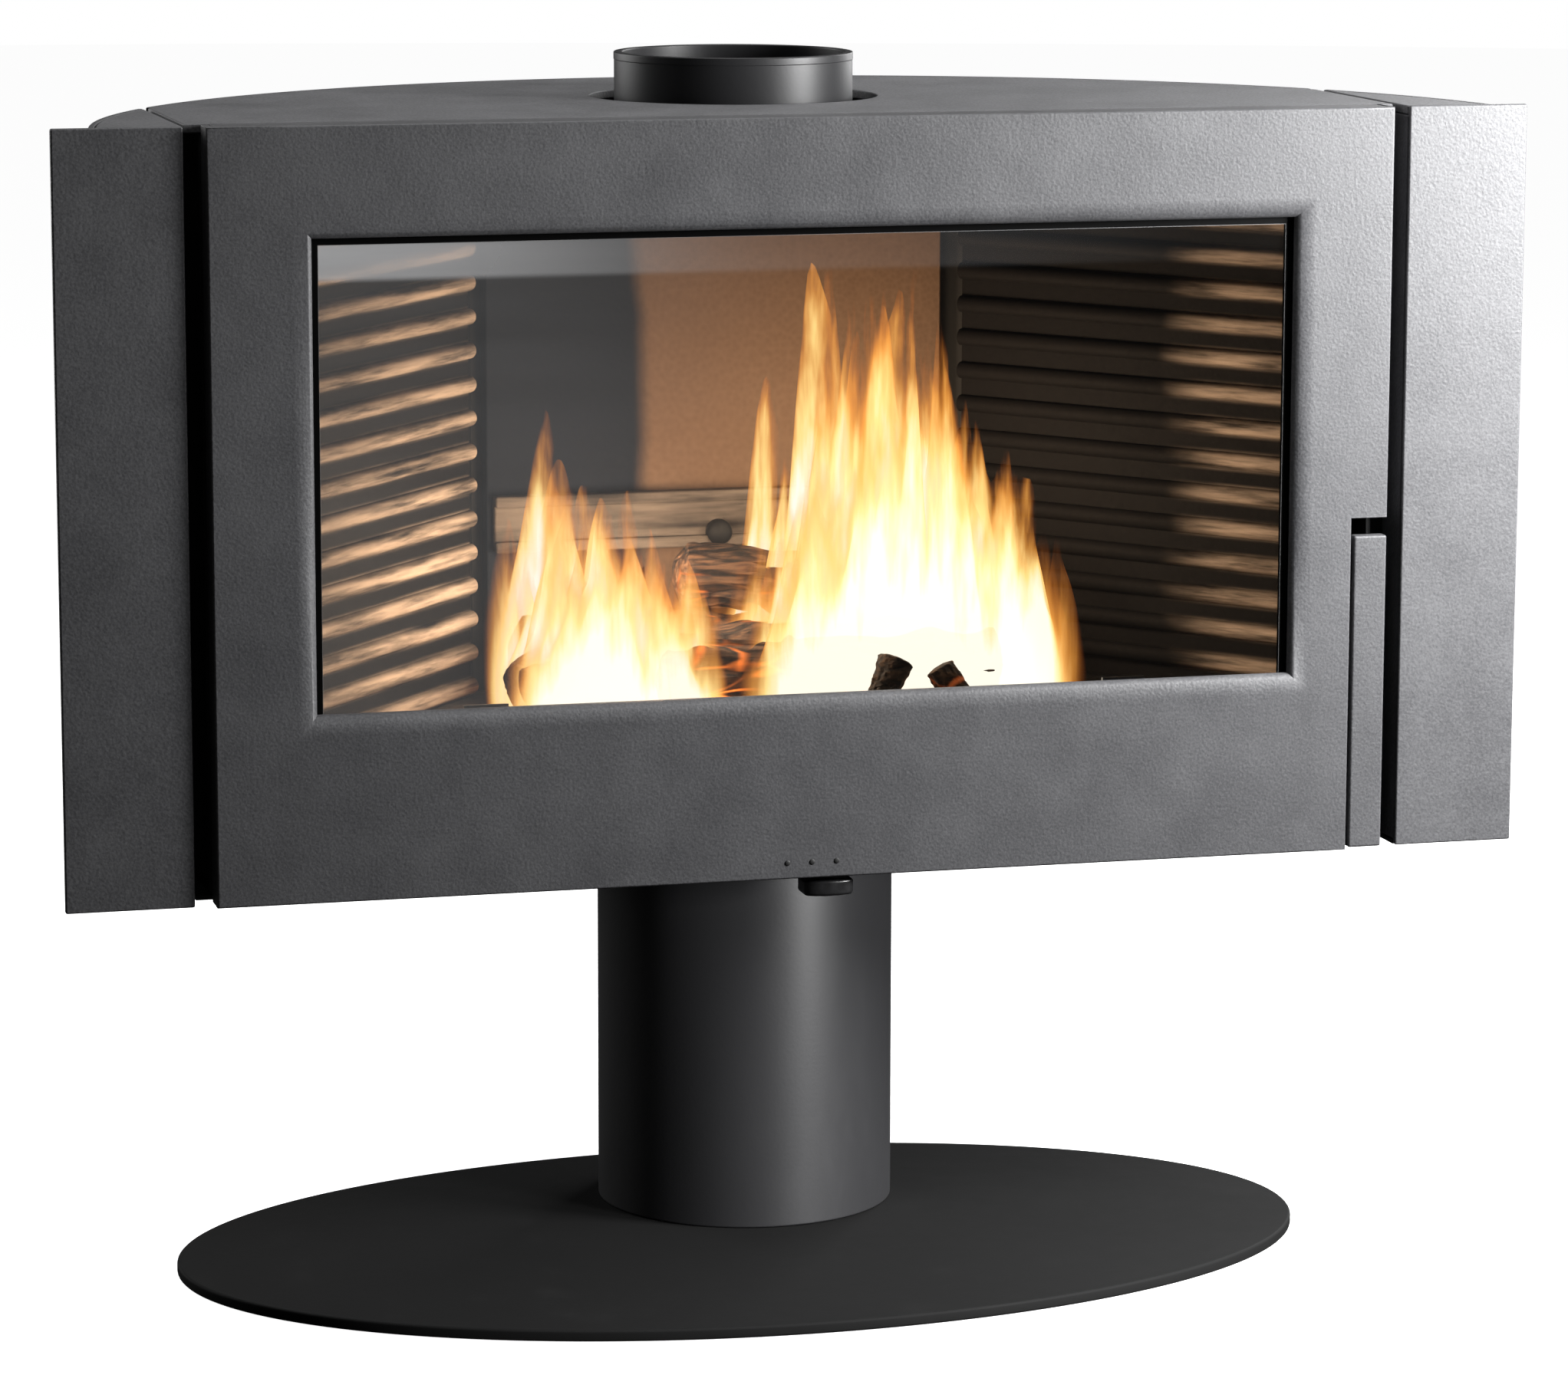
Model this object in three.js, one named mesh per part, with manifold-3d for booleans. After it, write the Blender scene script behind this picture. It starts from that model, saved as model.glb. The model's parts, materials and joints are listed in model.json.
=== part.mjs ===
// Wood-burning stove: a wide cast-iron and steel stove with a curved back, on a round pedestal and an oval floor plate.
// Millimetres, +X right, +Y back, +Z up. The origin is on the floor, under the middle of the whole stove.
import * as THREE from "three";
import { mergeVertices } from "three/addons/utils/BufferGeometryUtils.js";
import Module from "manifold-3d";

const wasm = await Module();
wasm.setup();

// ---- driving dimensions ----
const TOUCH = 0.3; // gap kept between two pieces that rest on each other

// whole body
const BODY_WIDTH = 1000;
const BODY_DEPTH = 422; // door face to the back of the curved casing
const BODY_HEIGHT = 507;
const BODY_BOTTOM_Z = 271; // underside of the body above the floor
const CASING_WALL = 4;
const TOP_THICKNESS = 6;
const BOTTOM_THICKNESS = 3;
const PLATE_SEAM = 0.8; // seam between the casing's rim and the plates inside it
const INNER_SIDE_WALL = 3;

// stand
const BASE_LENGTH = 781;
const BASE_WIDTH = 461;
const BASE_THICKNESS = 8;
const BASE_AHEAD = 148; // floor plate's front edge ahead of the door face
const BASE_OFFSET_X = -28; // the floor plate's middle beside the pedestal's axis
const PEDESTAL_RADIUS = 103;
const PEDESTAL_WALL = 3;
const PEDESTAL_BEHIND = 187; // pedestal's axis behind the door face
const RING_WIDTH = 38;
const RING_THICKNESS = 8;
const BOLT_RADIUS = 4;
const BOLT_CLEARANCE = 0.5;
const BOLT_HEAD_RADIUS = 8;
const BOLT_HEAD_HEIGHT = 6;
const BOLT_COUNT = 4;

// wings, the fixed front panels beside the door
const SIDE_GAP = 13.5; // open slot between the door and a wing
const WING_SETBACK = 7.5; // wing face behind the door face
const WING_THICKNESS = 5;
const WING_RETURN = 38; // depth of the wing's inner edge
const WING_SEAM = 4; // slot between the main top and a wing's top
const WING_OVERHANG = 24.5; // wing's outer edge beyond the curved side behind it

// door
const DOOR_WIDTH = 804;
const DOOR_PLATE = 8;
const DOOR_RETURN = 28.5; // depth of the door's turned-back rim
const RIM_WALL = 5;
const DOOR_SEAM = 2; // seam between the door's rim and the plates behind it
const WINDOW_SIDE = 54.5; // door panel beside the window's border
const WINDOW_BELOW = 110.5; // door panel under the window's border
const WINDOW_ABOVE = 59.5; // door panel over the window's border
const WINDOW_BORDER = 13.5; // sloped border round the window
const GLASS_LAP = 9.5; // glass behind the panel, all round the opening
const GLASS_THICKNESS = 4;
const GLASS_TAPE = 2;
const GLASS_TAPE_WIDTH = 7;
const CLIP_WIDTH = 30;
const CLIP_SHEET = 2;
const CLIP_HOLD = 10; // clip over the edge of the glass
const CLIP_FOOT = 17;
const CLIP_X = 220;
const ROPE_WIDTH = 10;
const ROPE_MARGIN = 35; // rope seal inside the door's outer edge
const ROPE_MARGIN_Z = 17;

// hinge and latch
const HINGE_X_INSET = 12; // hinge axis inside the door's left edge
const HINGE_Y = 16; // hinge axis behind the door face
const PIN_RADIUS = 3.5;
const PIN_CLEARANCE = 0.5;
const PIN_LENGTH = 22;
const KNUCKLE_RADIUS = 6.8;
const BRACKET_THICKNESS = 6;
const BRACKET_DROP = 12; // bracket below the door's rim
const HINGE_SWEEP = 13.5; // the rim's corner is rounded to this radius about the hinge axis
const HANDLE_WIDTH = 23.5;
const HANDLE_HEIGHT = 215.5;
const HANDLE_THICKNESS = 10;
const HANDLE_GAP = 2;
const HANDLE_NOTCH = 12; // finger notch over the handle
const HANDLE_LIFT = 1.5; // handle's lower end above the door's lower edge
const EAR_HEIGHT = 16;
const EAR_DEPTH = 12;
const EAR_WIDTH = 8;
const EAR_DROP = 2;
const LUG_WIDTH = 7;
const PIVOT_RADIUS = 3;
const PIVOT_CLEARANCE = 0.3;
const TONGUE_LENGTH = 18;
const TONGUE_HEIGHT = 12;
const TONGUE_WIDTH = 6;
const KEEPER_PLATE = 4;
const KEEPER_DEPTH = 36;
const KEEPER_HEIGHT = 24;
const LATCH_CLEARANCE = 2;

// firebox
const FRAME_BEHIND = 22.5; // firebox's front frame behind the door face
const FRAME_THICKNESS = 12;
const FRAME_INSET = 30; // frame inside the door's outer edge
const FRAME_INSET_Z = 12;
const MOUTH_MARGIN = 11.5; // mouth of the firebox outside the window's opening
const ASH_MARGIN = 8; // ash mouth beyond the pan, at the sides and over it
const LINER_START = 38; // front end of the side liners behind the door face
const LINER_DEPTH = 232; // front end to back end of the side liners
const LINER_BACK_HALF = 165; // half the width of the firebox at its back
const LINER_THICKNESS = 16;
const RIB_PITCH = 23.6;
const RIB_WIDTH = 11;
const RIB_DEPTH = 6;
const BACK_LINER = 18;
const STEEL = 5;
const LAYER_GAP = 1; // between liners and the steel firebox
const FIREBOX_FLOOR = 30; // underside of the firebox above the body's underside
const ROOF_BELOW_TOP = 45; // underside of the firebox's roof below the body's top
const HEARTH_BELOW = 38; // hearth under the lower edge of the opening
const HEARTH_THICKNESS = 8;
const HEARTH_WEB = 6;
const GRATE_HALF = 150;
const GRATE_BEHIND = 54; // grate behind the front end of the liners
const GRATE_DEPTH = 140;
const GRATE_SLOTS = 11;
const GRATE_SLOT = 11;
const GRATE_RIM = 14;
const PAN_HALF = 122;
const PAN_DEPTH = 210;
const PAN_HEIGHT = 40;
const PAN_SHEET = 2;
const BAFFLE_REACH = 158; // baffle forward from the back liner
const BAFFLE_ABOVE = 4; // baffle over the upper edge of the opening
const BAFFLE_THICKNESS = 8;
const BAFFLE_CLEARANCE = 6;
const AIR_BAR_OVER_HEARTH = 101;
const AIR_BAR_HEIGHT = 40;
const AIR_BAR_DEPTH = 12;
const AIR_BAR_BOLT_UP = 10; // bolt over the bar's lower edge
const SUPPORT_X = 150;
const SUPPORT_WALL = 6;

// flue
const COLLAR_BORE = 153; // takes a 150 mm flue pipe
const COLLAR_WALL = 6;
const COLLAR_ABOVE = 30; // collar above the top plate
const COLLAR_BEHIND = 220; // collar's axis behind the door face
const FLANGE_WIDTH = 13.5;
const FLANGE_THICKNESS = 6;
const TOP_HOLE_CLEARANCE = 16.5; // round the collar

// air control
const KNOB_X = 12;
const KNOB_WIDTH = 34;
const KNOB_DEPTH = 22;
const KNOB_HEIGHT = 11;
const KNOB_FRONT = 3;
const KNOB_BELOW = 3; // knob's top below the door's lower edge
const AIR_TRAVEL_LEFT = 31;
const AIR_TRAVEL_RIGHT = 6;
const LEVER_WIDTH = 12;
const LEVER_THICKNESS = 4;
const LEVER_CLEARANCE = 9; // between the lever and the pedestal
const SHUTTER_LENGTH = 120;
const SHUTTER_DEPTH = 62;
const SHUTTER_THICKNESS = 3;
const INLET_HALF = 40;
const INLET_DEPTH = 20;

// ---- values worked out from the dimensions ----
const DOOR_HALF = DOOR_WIDTH / 2;
const BODY_HALF = BODY_WIDTH / 2;
const WING_INNER = DOOR_HALF + SIDE_GAP;
const MAIN_HALF = WING_INNER - WING_SEAM;
const WING_BACK = WING_SETBACK + WING_THICKNESS + TOUCH; // front ends of the curved sides
const ARC_HALF = BODY_HALF - WING_OVERHANG;
const ARC_RISE = BODY_DEPTH - WING_BACK;
const BACK_RADIUS = (ARC_HALF ** 2 + ARC_RISE ** 2) / (2 * ARC_RISE); // of the curved back, seen from above
const ARC_Y = BODY_DEPTH - BACK_RADIUS; // centre of the curved back, behind the door face
const INSIDE_RADIUS = BACK_RADIUS - CASING_WALL;
const PLATE_RADIUS = INSIDE_RADIUS - PLATE_SEAM;
const PLATES_FRONT = DOOR_RETURN + DOOR_SEAM;
const TOTAL_DEPTH = BASE_AHEAD + BODY_DEPTH;
const DOOR_FACE_Y = BASE_AHEAD - TOTAL_DEPTH / 2;
const WINDOW_HALF = DOOR_HALF - WINDOW_SIDE;
const WINDOW_TOP = BODY_HEIGHT - WINDOW_ABOVE;
const OPENING_HALF = WINDOW_HALF - WINDOW_BORDER;
const OPENING_LOW = WINDOW_BELOW + WINDOW_BORDER;
const OPENING_HIGH = WINDOW_TOP - WINDOW_BORDER;
const HINGE_X = -DOOR_HALF + HINGE_X_INSET;
const FRAME_HALF = DOOR_HALF - FRAME_INSET;
const FRAME_BACK = FRAME_BEHIND + FRAME_THICKNESS;
const MOUTH_HALF = OPENING_HALF + MOUTH_MARGIN;
const LINER_FRONT_HALF = MOUTH_HALF + 5;
const LINER_BACK_Y = LINER_START + LINER_DEPTH;
const STEEL_OFFSET = LINER_THICKNESS + LAYER_GAP;
const STEEL_BACK_Y = LINER_BACK_Y + BACK_LINER + LAYER_GAP;
const FLOOR_TOP = FIREBOX_FLOOR + STEEL;
const FIREBOX_ROOF = BODY_HEIGHT - ROOF_BELOW_TOP;
const HEARTH_TOP = OPENING_LOW - HEARTH_BELOW;
const BAFFLE_Z = OPENING_HIGH + BAFFLE_ABOVE;
const AIR_BAR_LOW = HEARTH_TOP + AIR_BAR_OVER_HEARTH;
const GRATE_FRONT = LINER_START + GRATE_BEHIND;
const PAN_FRONT = LINER_START + 6;
const LEVER_REACH = PEDESTAL_BEHIND - PEDESTAL_RADIUS - LEVER_CLEARANCE;
const HANDLE_LEFT = DOOR_HALF - HANDLE_WIDTH;
const HANDLE_TOP = HANDLE_LIFT + HANDLE_HEIGHT;
const PIVOT_Z = HANDLE_TOP - EAR_DROP - EAR_HEIGHT / 2;
const PIVOT_Y = HANDLE_THICKNESS + EAR_DEPTH / 2;
const EAR_LEFT = HANDLE_LEFT + 3.5;
const COLLAR_OUTER = COLLAR_BORE / 2 + COLLAR_WALL;
const TOP_HOLE_RADIUS = COLLAR_OUTER + TOP_HOLE_CLEARANCE;

// ---- finishes ----
const finish = (color, roughness, metalness) => new THREE.MeshStandardMaterial({ color, roughness, metalness });
const CAST_PAINT = finish(0x55565a, 0.75, 0.2);
const TOP_PAINT = finish(0x606266, 0.75, 0.2);
const BLACK_STEEL = finish(0x222326, 0.5, 0.4);
const CAST_LINER = finish(0x3a332d, 0.9, 0.1);
const BRICK = finish(0x8a6a4a, 0.95, 0);
const BRIGHT_STEEL = finish(0x8d8f92, 0.4, 0.9);
const BLACK_PLASTIC = finish(0x101012, 0.45, 0);
const ROPE = finish(0x3c3c3a, 1, 0);
const GLASS = new THREE.MeshStandardMaterial({
  color: 0x9aa4a8,
  roughness: 0.1,
  metalness: 0,
  transparent: true,
  opacity: 0.35,
});

// ---- shape helpers ----
// A closed three.js geometry as a solid that can be joined and cut.
function solid(geometry) {
  const bare = geometry.clone();
  bare.deleteAttribute("normal");
  bare.deleteAttribute("uv");
  const merged = mergeVertices(bare, 1e-4);
  return new wasm.Manifold(
    new wasm.Mesh({
      numProp: 3,
      vertProperties: merged.attributes.position.array,
      triVerts: new Uint32Array(merged.index.array),
    }),
  );
}

// The solid as a three.js geometry again.
function geometryOf(shape) {
  const mesh = shape.getMesh();
  const geometry = new THREE.BufferGeometry();
  geometry.setAttribute("position", new THREE.BufferAttribute(mesh.vertProperties, 3));
  geometry.setIndex(new THREE.BufferAttribute(mesh.triVerts, 1));
  geometry.computeVertexNormals();
  return geometry;
}

function join(first, ...others) {
  return geometryOf(others.reduce((sum, g) => sum.add(solid(g)), solid(first)));
}

function cut(first, ...others) {
  return geometryOf(others.reduce((sum, g) => sum.subtract(solid(g)), solid(first)));
}

function block(x0, x1, y0, y1, z0, z1) {
  const geometry = new THREE.BoxGeometry(x1 - x0, y1 - y0, z1 - z0);
  return geometry.translate((x0 + x1) / 2, (y0 + y1) / 2, (z0 + z1) / 2);
}

// An outline in plan, raised from z0 to z1.
function plate(outline, z0, z1, curveSegments = 48) {
  const shape = outline instanceof THREE.Shape ? outline : new THREE.Shape(outline.map(([x, y]) => new THREE.Vector2(x, y)));
  const geometry = new THREE.ExtrudeGeometry(shape, { depth: z1 - z0, bevelEnabled: false, curveSegments });
  return geometry.translate(0, 0, z0);
}

// An outline in the (y, z) plane, drawn out along X from x0 to x1.
function barAlongX(outline, x0, x1) {
  const geometry = plate(outline, 0, x1 - x0);
  geometry.rotateX(Math.PI / 2).rotateZ(Math.PI / 2);
  return geometry.translate(x0, 0, 0);
}

function rod(radius, height, z0 = 0, sides = 24) {
  return new THREE.CylinderGeometry(radius, radius, height, sides).rotateX(Math.PI / 2).translate(0, 0, z0 + height / 2);
}

function ring(outer, inner, z0, z1, sides = 48) {
  const profile = [
    [inner, z0],
    [outer, z0],
    [outer, z1],
    [inner, z1],
    [inner, z0],
  ];
  return lathe(profile, sides);
}

function lathe(profile, sides = 48) {
  const points = profile.map(([r, z]) => new THREE.Vector2(r, z));
  return new THREE.LatheGeometry(points, sides).rotateX(Math.PI / 2);
}

// A rectangular ring standing in the XZ plane: outer half width, low and high, less an inner one, from y0 to y1.
function uprightFrame(outer, inner, y0, y1) {
  const through = block(-inner.half, inner.half, y0 - 1, y1 + 1, inner.low, inner.high);
  return cut(block(-outer.half, outer.half, y0, y1, outer.low, outer.high), through);
}

function mirrored(geometry) {
  const flipped = solid(geometry).mirror([1, 0, 0]);
  return geometryOf(flipped);
}

function mesh(name, geometry, material, parent, position = [0, 0, 0]) {
  const made = new THREE.Mesh(geometry, material);
  made.name = name;
  made.position.set(...position);
  parent.add(made);
  return made;
}

// Both hands of a piece that is drawn on the right.
function pair(name, geometry, material, parent) {
  mesh(name + "_right", geometry, material, parent);
  mesh(name + "_left", mirrored(geometry), material, parent);
}

const backArcY = (x, radius) => ARC_Y + Math.sqrt(radius * radius - x * x);
const backArcX = (y, radius) => Math.sqrt(radius * radius - (y - ARC_Y) ** 2);

// ---- assembly ----
const stove = new THREE.Group();
const stand = new THREE.Group();
stand.position.set(0, DOOR_FACE_Y + PEDESTAL_BEHIND, 0); // its origin is on the pedestal's axis, on the floor
const body = new THREE.Group();
body.position.set(0, DOOR_FACE_Y, BODY_BOTTOM_Z); // its origin is under the middle of the door's face
stove.add(stand, body);

// -- stand --
const ringOuter = PEDESTAL_RADIUS - PEDESTAL_WALL - TOUCH;
const ringInner = ringOuter - RING_WIDTH;
const boltCircle = ringOuter - RING_WIDTH / 2;
const boltHoleRadius = BOLT_RADIUS + BOLT_CLEARANCE;
const boltSpots = Array.from({ length: BOLT_COUNT }, (_, i) => {
  const angle = (2 * Math.PI * (i + 0.5)) / BOLT_COUNT;
  return [boltCircle * Math.cos(angle), boltCircle * Math.sin(angle)];
});
const boltHoles = (z0, z1) => boltSpots.map(([x, y]) => rod(boltHoleRadius, z1 - z0, z0, 16).translate(x, y, 0));

const baseShape = new THREE.Shape();
const baseMiddleY = BASE_WIDTH / 2 - BASE_AHEAD - PEDESTAL_BEHIND;
baseShape.absellipse(BASE_OFFSET_X, baseMiddleY, BASE_LENGTH / 2, BASE_WIDTH / 2, 0, 2 * Math.PI);
const basePlate = plate(baseShape, 0, BASE_THICKNESS, 72);
mesh("base_plate", cut(basePlate, ...boltHoles(BASE_THICKNESS / 4, BASE_THICKNESS + 1)), BLACK_STEEL, stand);

const tubeLow = BASE_THICKNESS + TOUCH;
const tubeHigh = BODY_BOTTOM_Z - TOUCH;
mesh("pedestal_tube", ring(PEDESTAL_RADIUS, PEDESTAL_RADIUS - PEDESTAL_WALL, tubeLow, tubeHigh, 64), BLACK_STEEL, stand);

const footRingTop = tubeLow + RING_THICKNESS;
const footRing = ring(ringOuter, ringInner, tubeLow, footRingTop);
mesh("pedestal_foot_ring", cut(footRing, ...boltHoles(tubeLow - 1, footRingTop + 1)), BRIGHT_STEEL, stand);
mesh("pedestal_head_ring", ring(ringOuter, ringInner, tubeHigh - RING_THICKNESS, tubeHigh), BRIGHT_STEEL, stand);

// A hexagon-headed bolt, its head standing on z = 0 and its shank below it.
function bolt(shank) {
  return join(rod(BOLT_HEAD_RADIUS, BOLT_HEAD_HEIGHT, 0, 6), rod(BOLT_RADIUS, shank + 1, -shank, 16));
}
const footShank = RING_THICKNESS + BASE_THICKNESS / 2;
boltSpots.forEach(([x, y], i) => {
  mesh(`foot_bolt_${i + 1}`, bolt(footShank), BRIGHT_STEEL, stand, [x, y, footRingTop + TOUCH]);
});

// -- casing --
// A plate between the door and the curved back, as wide as the main body.
function mainPlate(z0, z1) {
  const shape = new THREE.Shape();
  const corner = Math.asin(MAIN_HALF / PLATE_RADIUS);
  shape.moveTo(-MAIN_HALF, PLATES_FRONT);
  shape.lineTo(MAIN_HALF, PLATES_FRONT);
  shape.absarc(0, ARC_Y, PLATE_RADIUS, Math.PI / 2 - corner, Math.PI / 2 + corner, false);
  return plate(shape, z0, z1, 40);
}

const topHole = rod(TOP_HOLE_RADIUS, TOP_THICKNESS + 2, BODY_HEIGHT - TOP_THICKNESS - 1, 48).translate(0, COLLAR_BEHIND, 0);
mesh("top_plate", cut(mainPlate(BODY_HEIGHT - TOP_THICKNESS, BODY_HEIGHT), topHole), TOP_PAINT, body);

const leverY0 = LEVER_REACH - LEVER_WIDTH;
const inletY0 = LEVER_REACH + 21;
const leverSlot = block(
  KNOB_X - AIR_TRAVEL_LEFT - LEVER_WIDTH / 2 - 2,
  KNOB_X + AIR_TRAVEL_RIGHT + LEVER_WIDTH / 2 + 2,
  leverY0 - 2,
  LEVER_REACH + 2,
  -1,
  BOTTOM_THICKNESS + 1,
);
const inlet = block(-INLET_HALF, INLET_HALF, inletY0, inletY0 + INLET_DEPTH, -1, BOTTOM_THICKNESS + 1);
mesh("bottom_plate", cut(mainPlate(0, BOTTOM_THICKNESS), leverSlot, inlet), BLACK_STEEL, body);

// A strip of the curved back between two angles, measured from the stove's middle line.
function curvedWall(from, to, z0, z1, segments) {
  const shape = new THREE.Shape();
  shape.absarc(0, ARC_Y, BACK_RADIUS, Math.PI / 2 - to, Math.PI / 2 - from, false);
  shape.absarc(0, ARC_Y, INSIDE_RADIUS, Math.PI / 2 - from, Math.PI / 2 - to, true);
  return plate(shape, z0, z1, segments);
}

const mainAngle = Math.asin(MAIN_HALF / BACK_RADIUS);
mesh("casing_back", curvedWall(-mainAngle, mainAngle, 0, BODY_HEIGHT, 36), CAST_PAINT, body);

const wingStart = Math.asin(WING_INNER / INSIDE_RADIUS);
const wingEnd = Math.PI / 2 - Math.asin((WING_BACK - ARC_Y) / INSIDE_RADIUS);
pair("wing_side", curvedWall(wingStart, wingEnd, 0, BODY_HEIGHT, 10), CAST_PAINT, body);

const wingFront = join(
  block(WING_INNER, BODY_HALF, WING_SETBACK, WING_SETBACK + WING_THICKNESS, 0, BODY_HEIGHT),
  block(
    WING_INNER,
    WING_INNER + CASING_WALL,
    WING_SETBACK,
    WING_SETBACK + WING_RETURN,
    BOTTOM_THICKNESS + TOUCH,
    BODY_HEIGHT - TOP_THICKNESS - TOUCH,
  ),
);
pair("wing_front", wingFront, CAST_PAINT, body);

// The top or bottom of a wing, inside its curved side.
function wingPlate(z0, z1) {
  const shape = new THREE.Shape();
  shape.moveTo(WING_INNER, WING_BACK);
  shape.lineTo(backArcX(WING_BACK, PLATE_RADIUS), WING_BACK);
  const from = Math.asin((WING_BACK - ARC_Y) / PLATE_RADIUS);
  const to = Math.acos(WING_INNER / PLATE_RADIUS);
  shape.absarc(0, ARC_Y, PLATE_RADIUS, from, to, false);
  return plate(shape, z0, z1, 10);
}
pair("wing_top", wingPlate(BODY_HEIGHT - TOP_THICKNESS, BODY_HEIGHT), TOP_PAINT, body);
pair("wing_bottom", wingPlate(0, BOTTOM_THICKNESS), BLACK_STEEL, body);

const innerSide = block(
  DOOR_HALF - INNER_SIDE_WALL,
  DOOR_HALF,
  PLATES_FRONT + 1.5,
  backArcY(DOOR_HALF, INSIDE_RADIUS) - 1,
  BOTTOM_THICKNESS + TOUCH,
  BODY_HEIGHT - TOP_THICKNESS - TOUCH,
);
pair("inner_side", innerSide, BLACK_STEEL, body);

// -- firebox --
// The firebox narrows to the back: its side runs from the mouth to the narrower back.
const slope = (LINER_FRONT_HALF - LINER_BACK_HALF) / LINER_DEPTH;
const slantLength = Math.hypot(LINER_DEPTH, LINER_FRONT_HALF - LINER_BACK_HALF);
const widening = slantLength / LINER_DEPTH; // sideways reach of one millimetre across the slanted wall
const sideX = (y, out) => LINER_FRONT_HALF - slope * (y - LINER_START) + out * widening;
const sideY = (x, out) => LINER_START + (LINER_FRONT_HALF + out * widening - x) / slope;

const ashMouth = block(
  -PAN_HALF - ASH_MARGIN,
  PAN_HALF + ASH_MARGIN,
  FRAME_BEHIND - 1,
  FRAME_BACK + 1,
  FLOOR_TOP + ASH_MARGIN / 2,
  FLOOR_TOP + PAN_HEIGHT + ASH_MARGIN,
);
mesh(
  "front_frame",
  geometryOf(
    solid(
      uprightFrame(
        { half: FRAME_HALF, low: FRAME_INSET_Z, high: BODY_HEIGHT - FRAME_INSET_Z },
        { half: MOUTH_HALF, low: OPENING_LOW - MOUTH_MARGIN, high: OPENING_HIGH + MOUTH_MARGIN },
        FRAME_BEHIND,
        FRAME_BACK,
      ),
    ).subtract(
      solid(ashMouth),
    ),
  ),
  BLACK_STEEL,
  body,
);

const steelFront = FRAME_BACK + TOUCH;
const steelSide = FRAME_HALF - 0.5;
const steelInner = steelSide - STEEL;
const steelBack = STEEL_BACK_Y - TOUCH;
const steelOut = STEEL_OFFSET + STEEL;
pair(
  "firebox_side",
  plate(
    [
      [steelInner, steelFront],
      [steelSide, steelFront],
      [steelSide, sideY(steelSide, steelOut)],
      [sideX(steelBack, steelOut), steelBack],
      [sideX(steelBack, STEEL_OFFSET), steelBack],
      [steelInner, sideY(steelInner, STEEL_OFFSET)],
    ],
    FLOOR_TOP + TOUCH,
    FIREBOX_ROOF - TOUCH,
  ),
  BLACK_STEEL,
  body,
);
const steelBackHalf = sideX(steelBack, steelOut);
mesh(
  "firebox_back",
  block(-steelBackHalf, steelBackHalf, STEEL_BACK_Y, STEEL_BACK_Y + STEEL, FLOOR_TOP + TOUCH, FIREBOX_ROOF - TOUCH),
  BLACK_STEEL,
  body,
);

// The firebox's outline in plan.
const fireboxOutline = [
  [-steelSide, steelFront],
  [steelSide, steelFront],
  [steelSide, sideY(steelSide, steelOut)],
  [steelBackHalf, STEEL_BACK_Y + STEEL],
  [-steelBackHalf, STEEL_BACK_Y + STEEL],
  [-steelSide, sideY(steelSide, steelOut)],
];
mesh("firebox_floor", plate(fireboxOutline, FIREBOX_FLOOR, FLOOR_TOP), BLACK_STEEL, body);
const flueHole = rod(COLLAR_BORE / 2, STEEL + 2, FIREBOX_ROOF - 1, 48).translate(0, COLLAR_BEHIND, 0);
mesh("firebox_roof", cut(plate(fireboxOutline, FIREBOX_ROOF, FIREBOX_ROOF + STEEL), flueHole), BLACK_STEEL, body);

pair(
  "firebox_support",
  block(
    SUPPORT_X,
    SUPPORT_X + SUPPORT_WALL,
    steelFront + 20,
    STEEL_BACK_Y,
    BOTTOM_THICKNESS + TOUCH,
    FIREBOX_FLOOR - TOUCH,
  ),
  BLACK_STEEL,
  body,
);

// A flat outline that reaches the steel sides, less a small gap, between two depths.
function insideOutline(y0, y1, out) {
  return [
    [-sideX(y0, out), y0],
    [sideX(y0, out), y0],
    [sideX(y1, out), y1],
    [-sideX(y1, out), y1],
  ];
}
const grateHole = block(
  -GRATE_HALF,
  GRATE_HALF,
  GRATE_FRONT,
  GRATE_FRONT + GRATE_DEPTH,
  HEARTH_TOP - HEARTH_THICKNESS - 1,
  HEARTH_TOP + 1,
);
const hearthLow = HEARTH_TOP - HEARTH_THICKNESS;
const hearthPlate = plate(insideOutline(steelFront + 16, LINER_BACK_Y + BACK_LINER, LINER_THICKNESS), hearthLow, HEARTH_TOP);
const webFront = LINER_START + 6;
const hearthWebs = [-1, 1].map((side) => {
  const edges = [side * (GRATE_HALF + 4), side * (GRATE_HALF + 4 + HEARTH_WEB)].sort((a, b) => a - b);
  return block(...edges, webFront, LINER_BACK_Y - 12, FLOOR_TOP + TOUCH, hearthLow + 1);
});
mesh("hearth", cut(join(hearthPlate, ...hearthWebs), grateHole), CAST_LINER, body);

const grateGap = 1;
const grateX = GRATE_HALF - grateGap;
const grateY0 = GRATE_FRONT + grateGap;
const grateY1 = GRATE_FRONT + GRATE_DEPTH - grateGap;
const slotPitch = (2 * (grateX - GRATE_RIM) - GRATE_SLOT) / (GRATE_SLOTS - 1);
const grateSlots = Array.from({ length: GRATE_SLOTS }, (_, i) => {
  const middle = (i - (GRATE_SLOTS - 1) / 2) * slotPitch;
  return block(
    middle - GRATE_SLOT / 2,
    middle + GRATE_SLOT / 2,
    grateY0 + GRATE_RIM,
    grateY1 - GRATE_RIM,
    hearthLow - 1,
    HEARTH_TOP + 1,
  );
});
mesh("grate", cut(block(-grateX, grateX, grateY0, grateY1, hearthLow, HEARTH_TOP), ...grateSlots), CAST_LINER, body);

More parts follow.
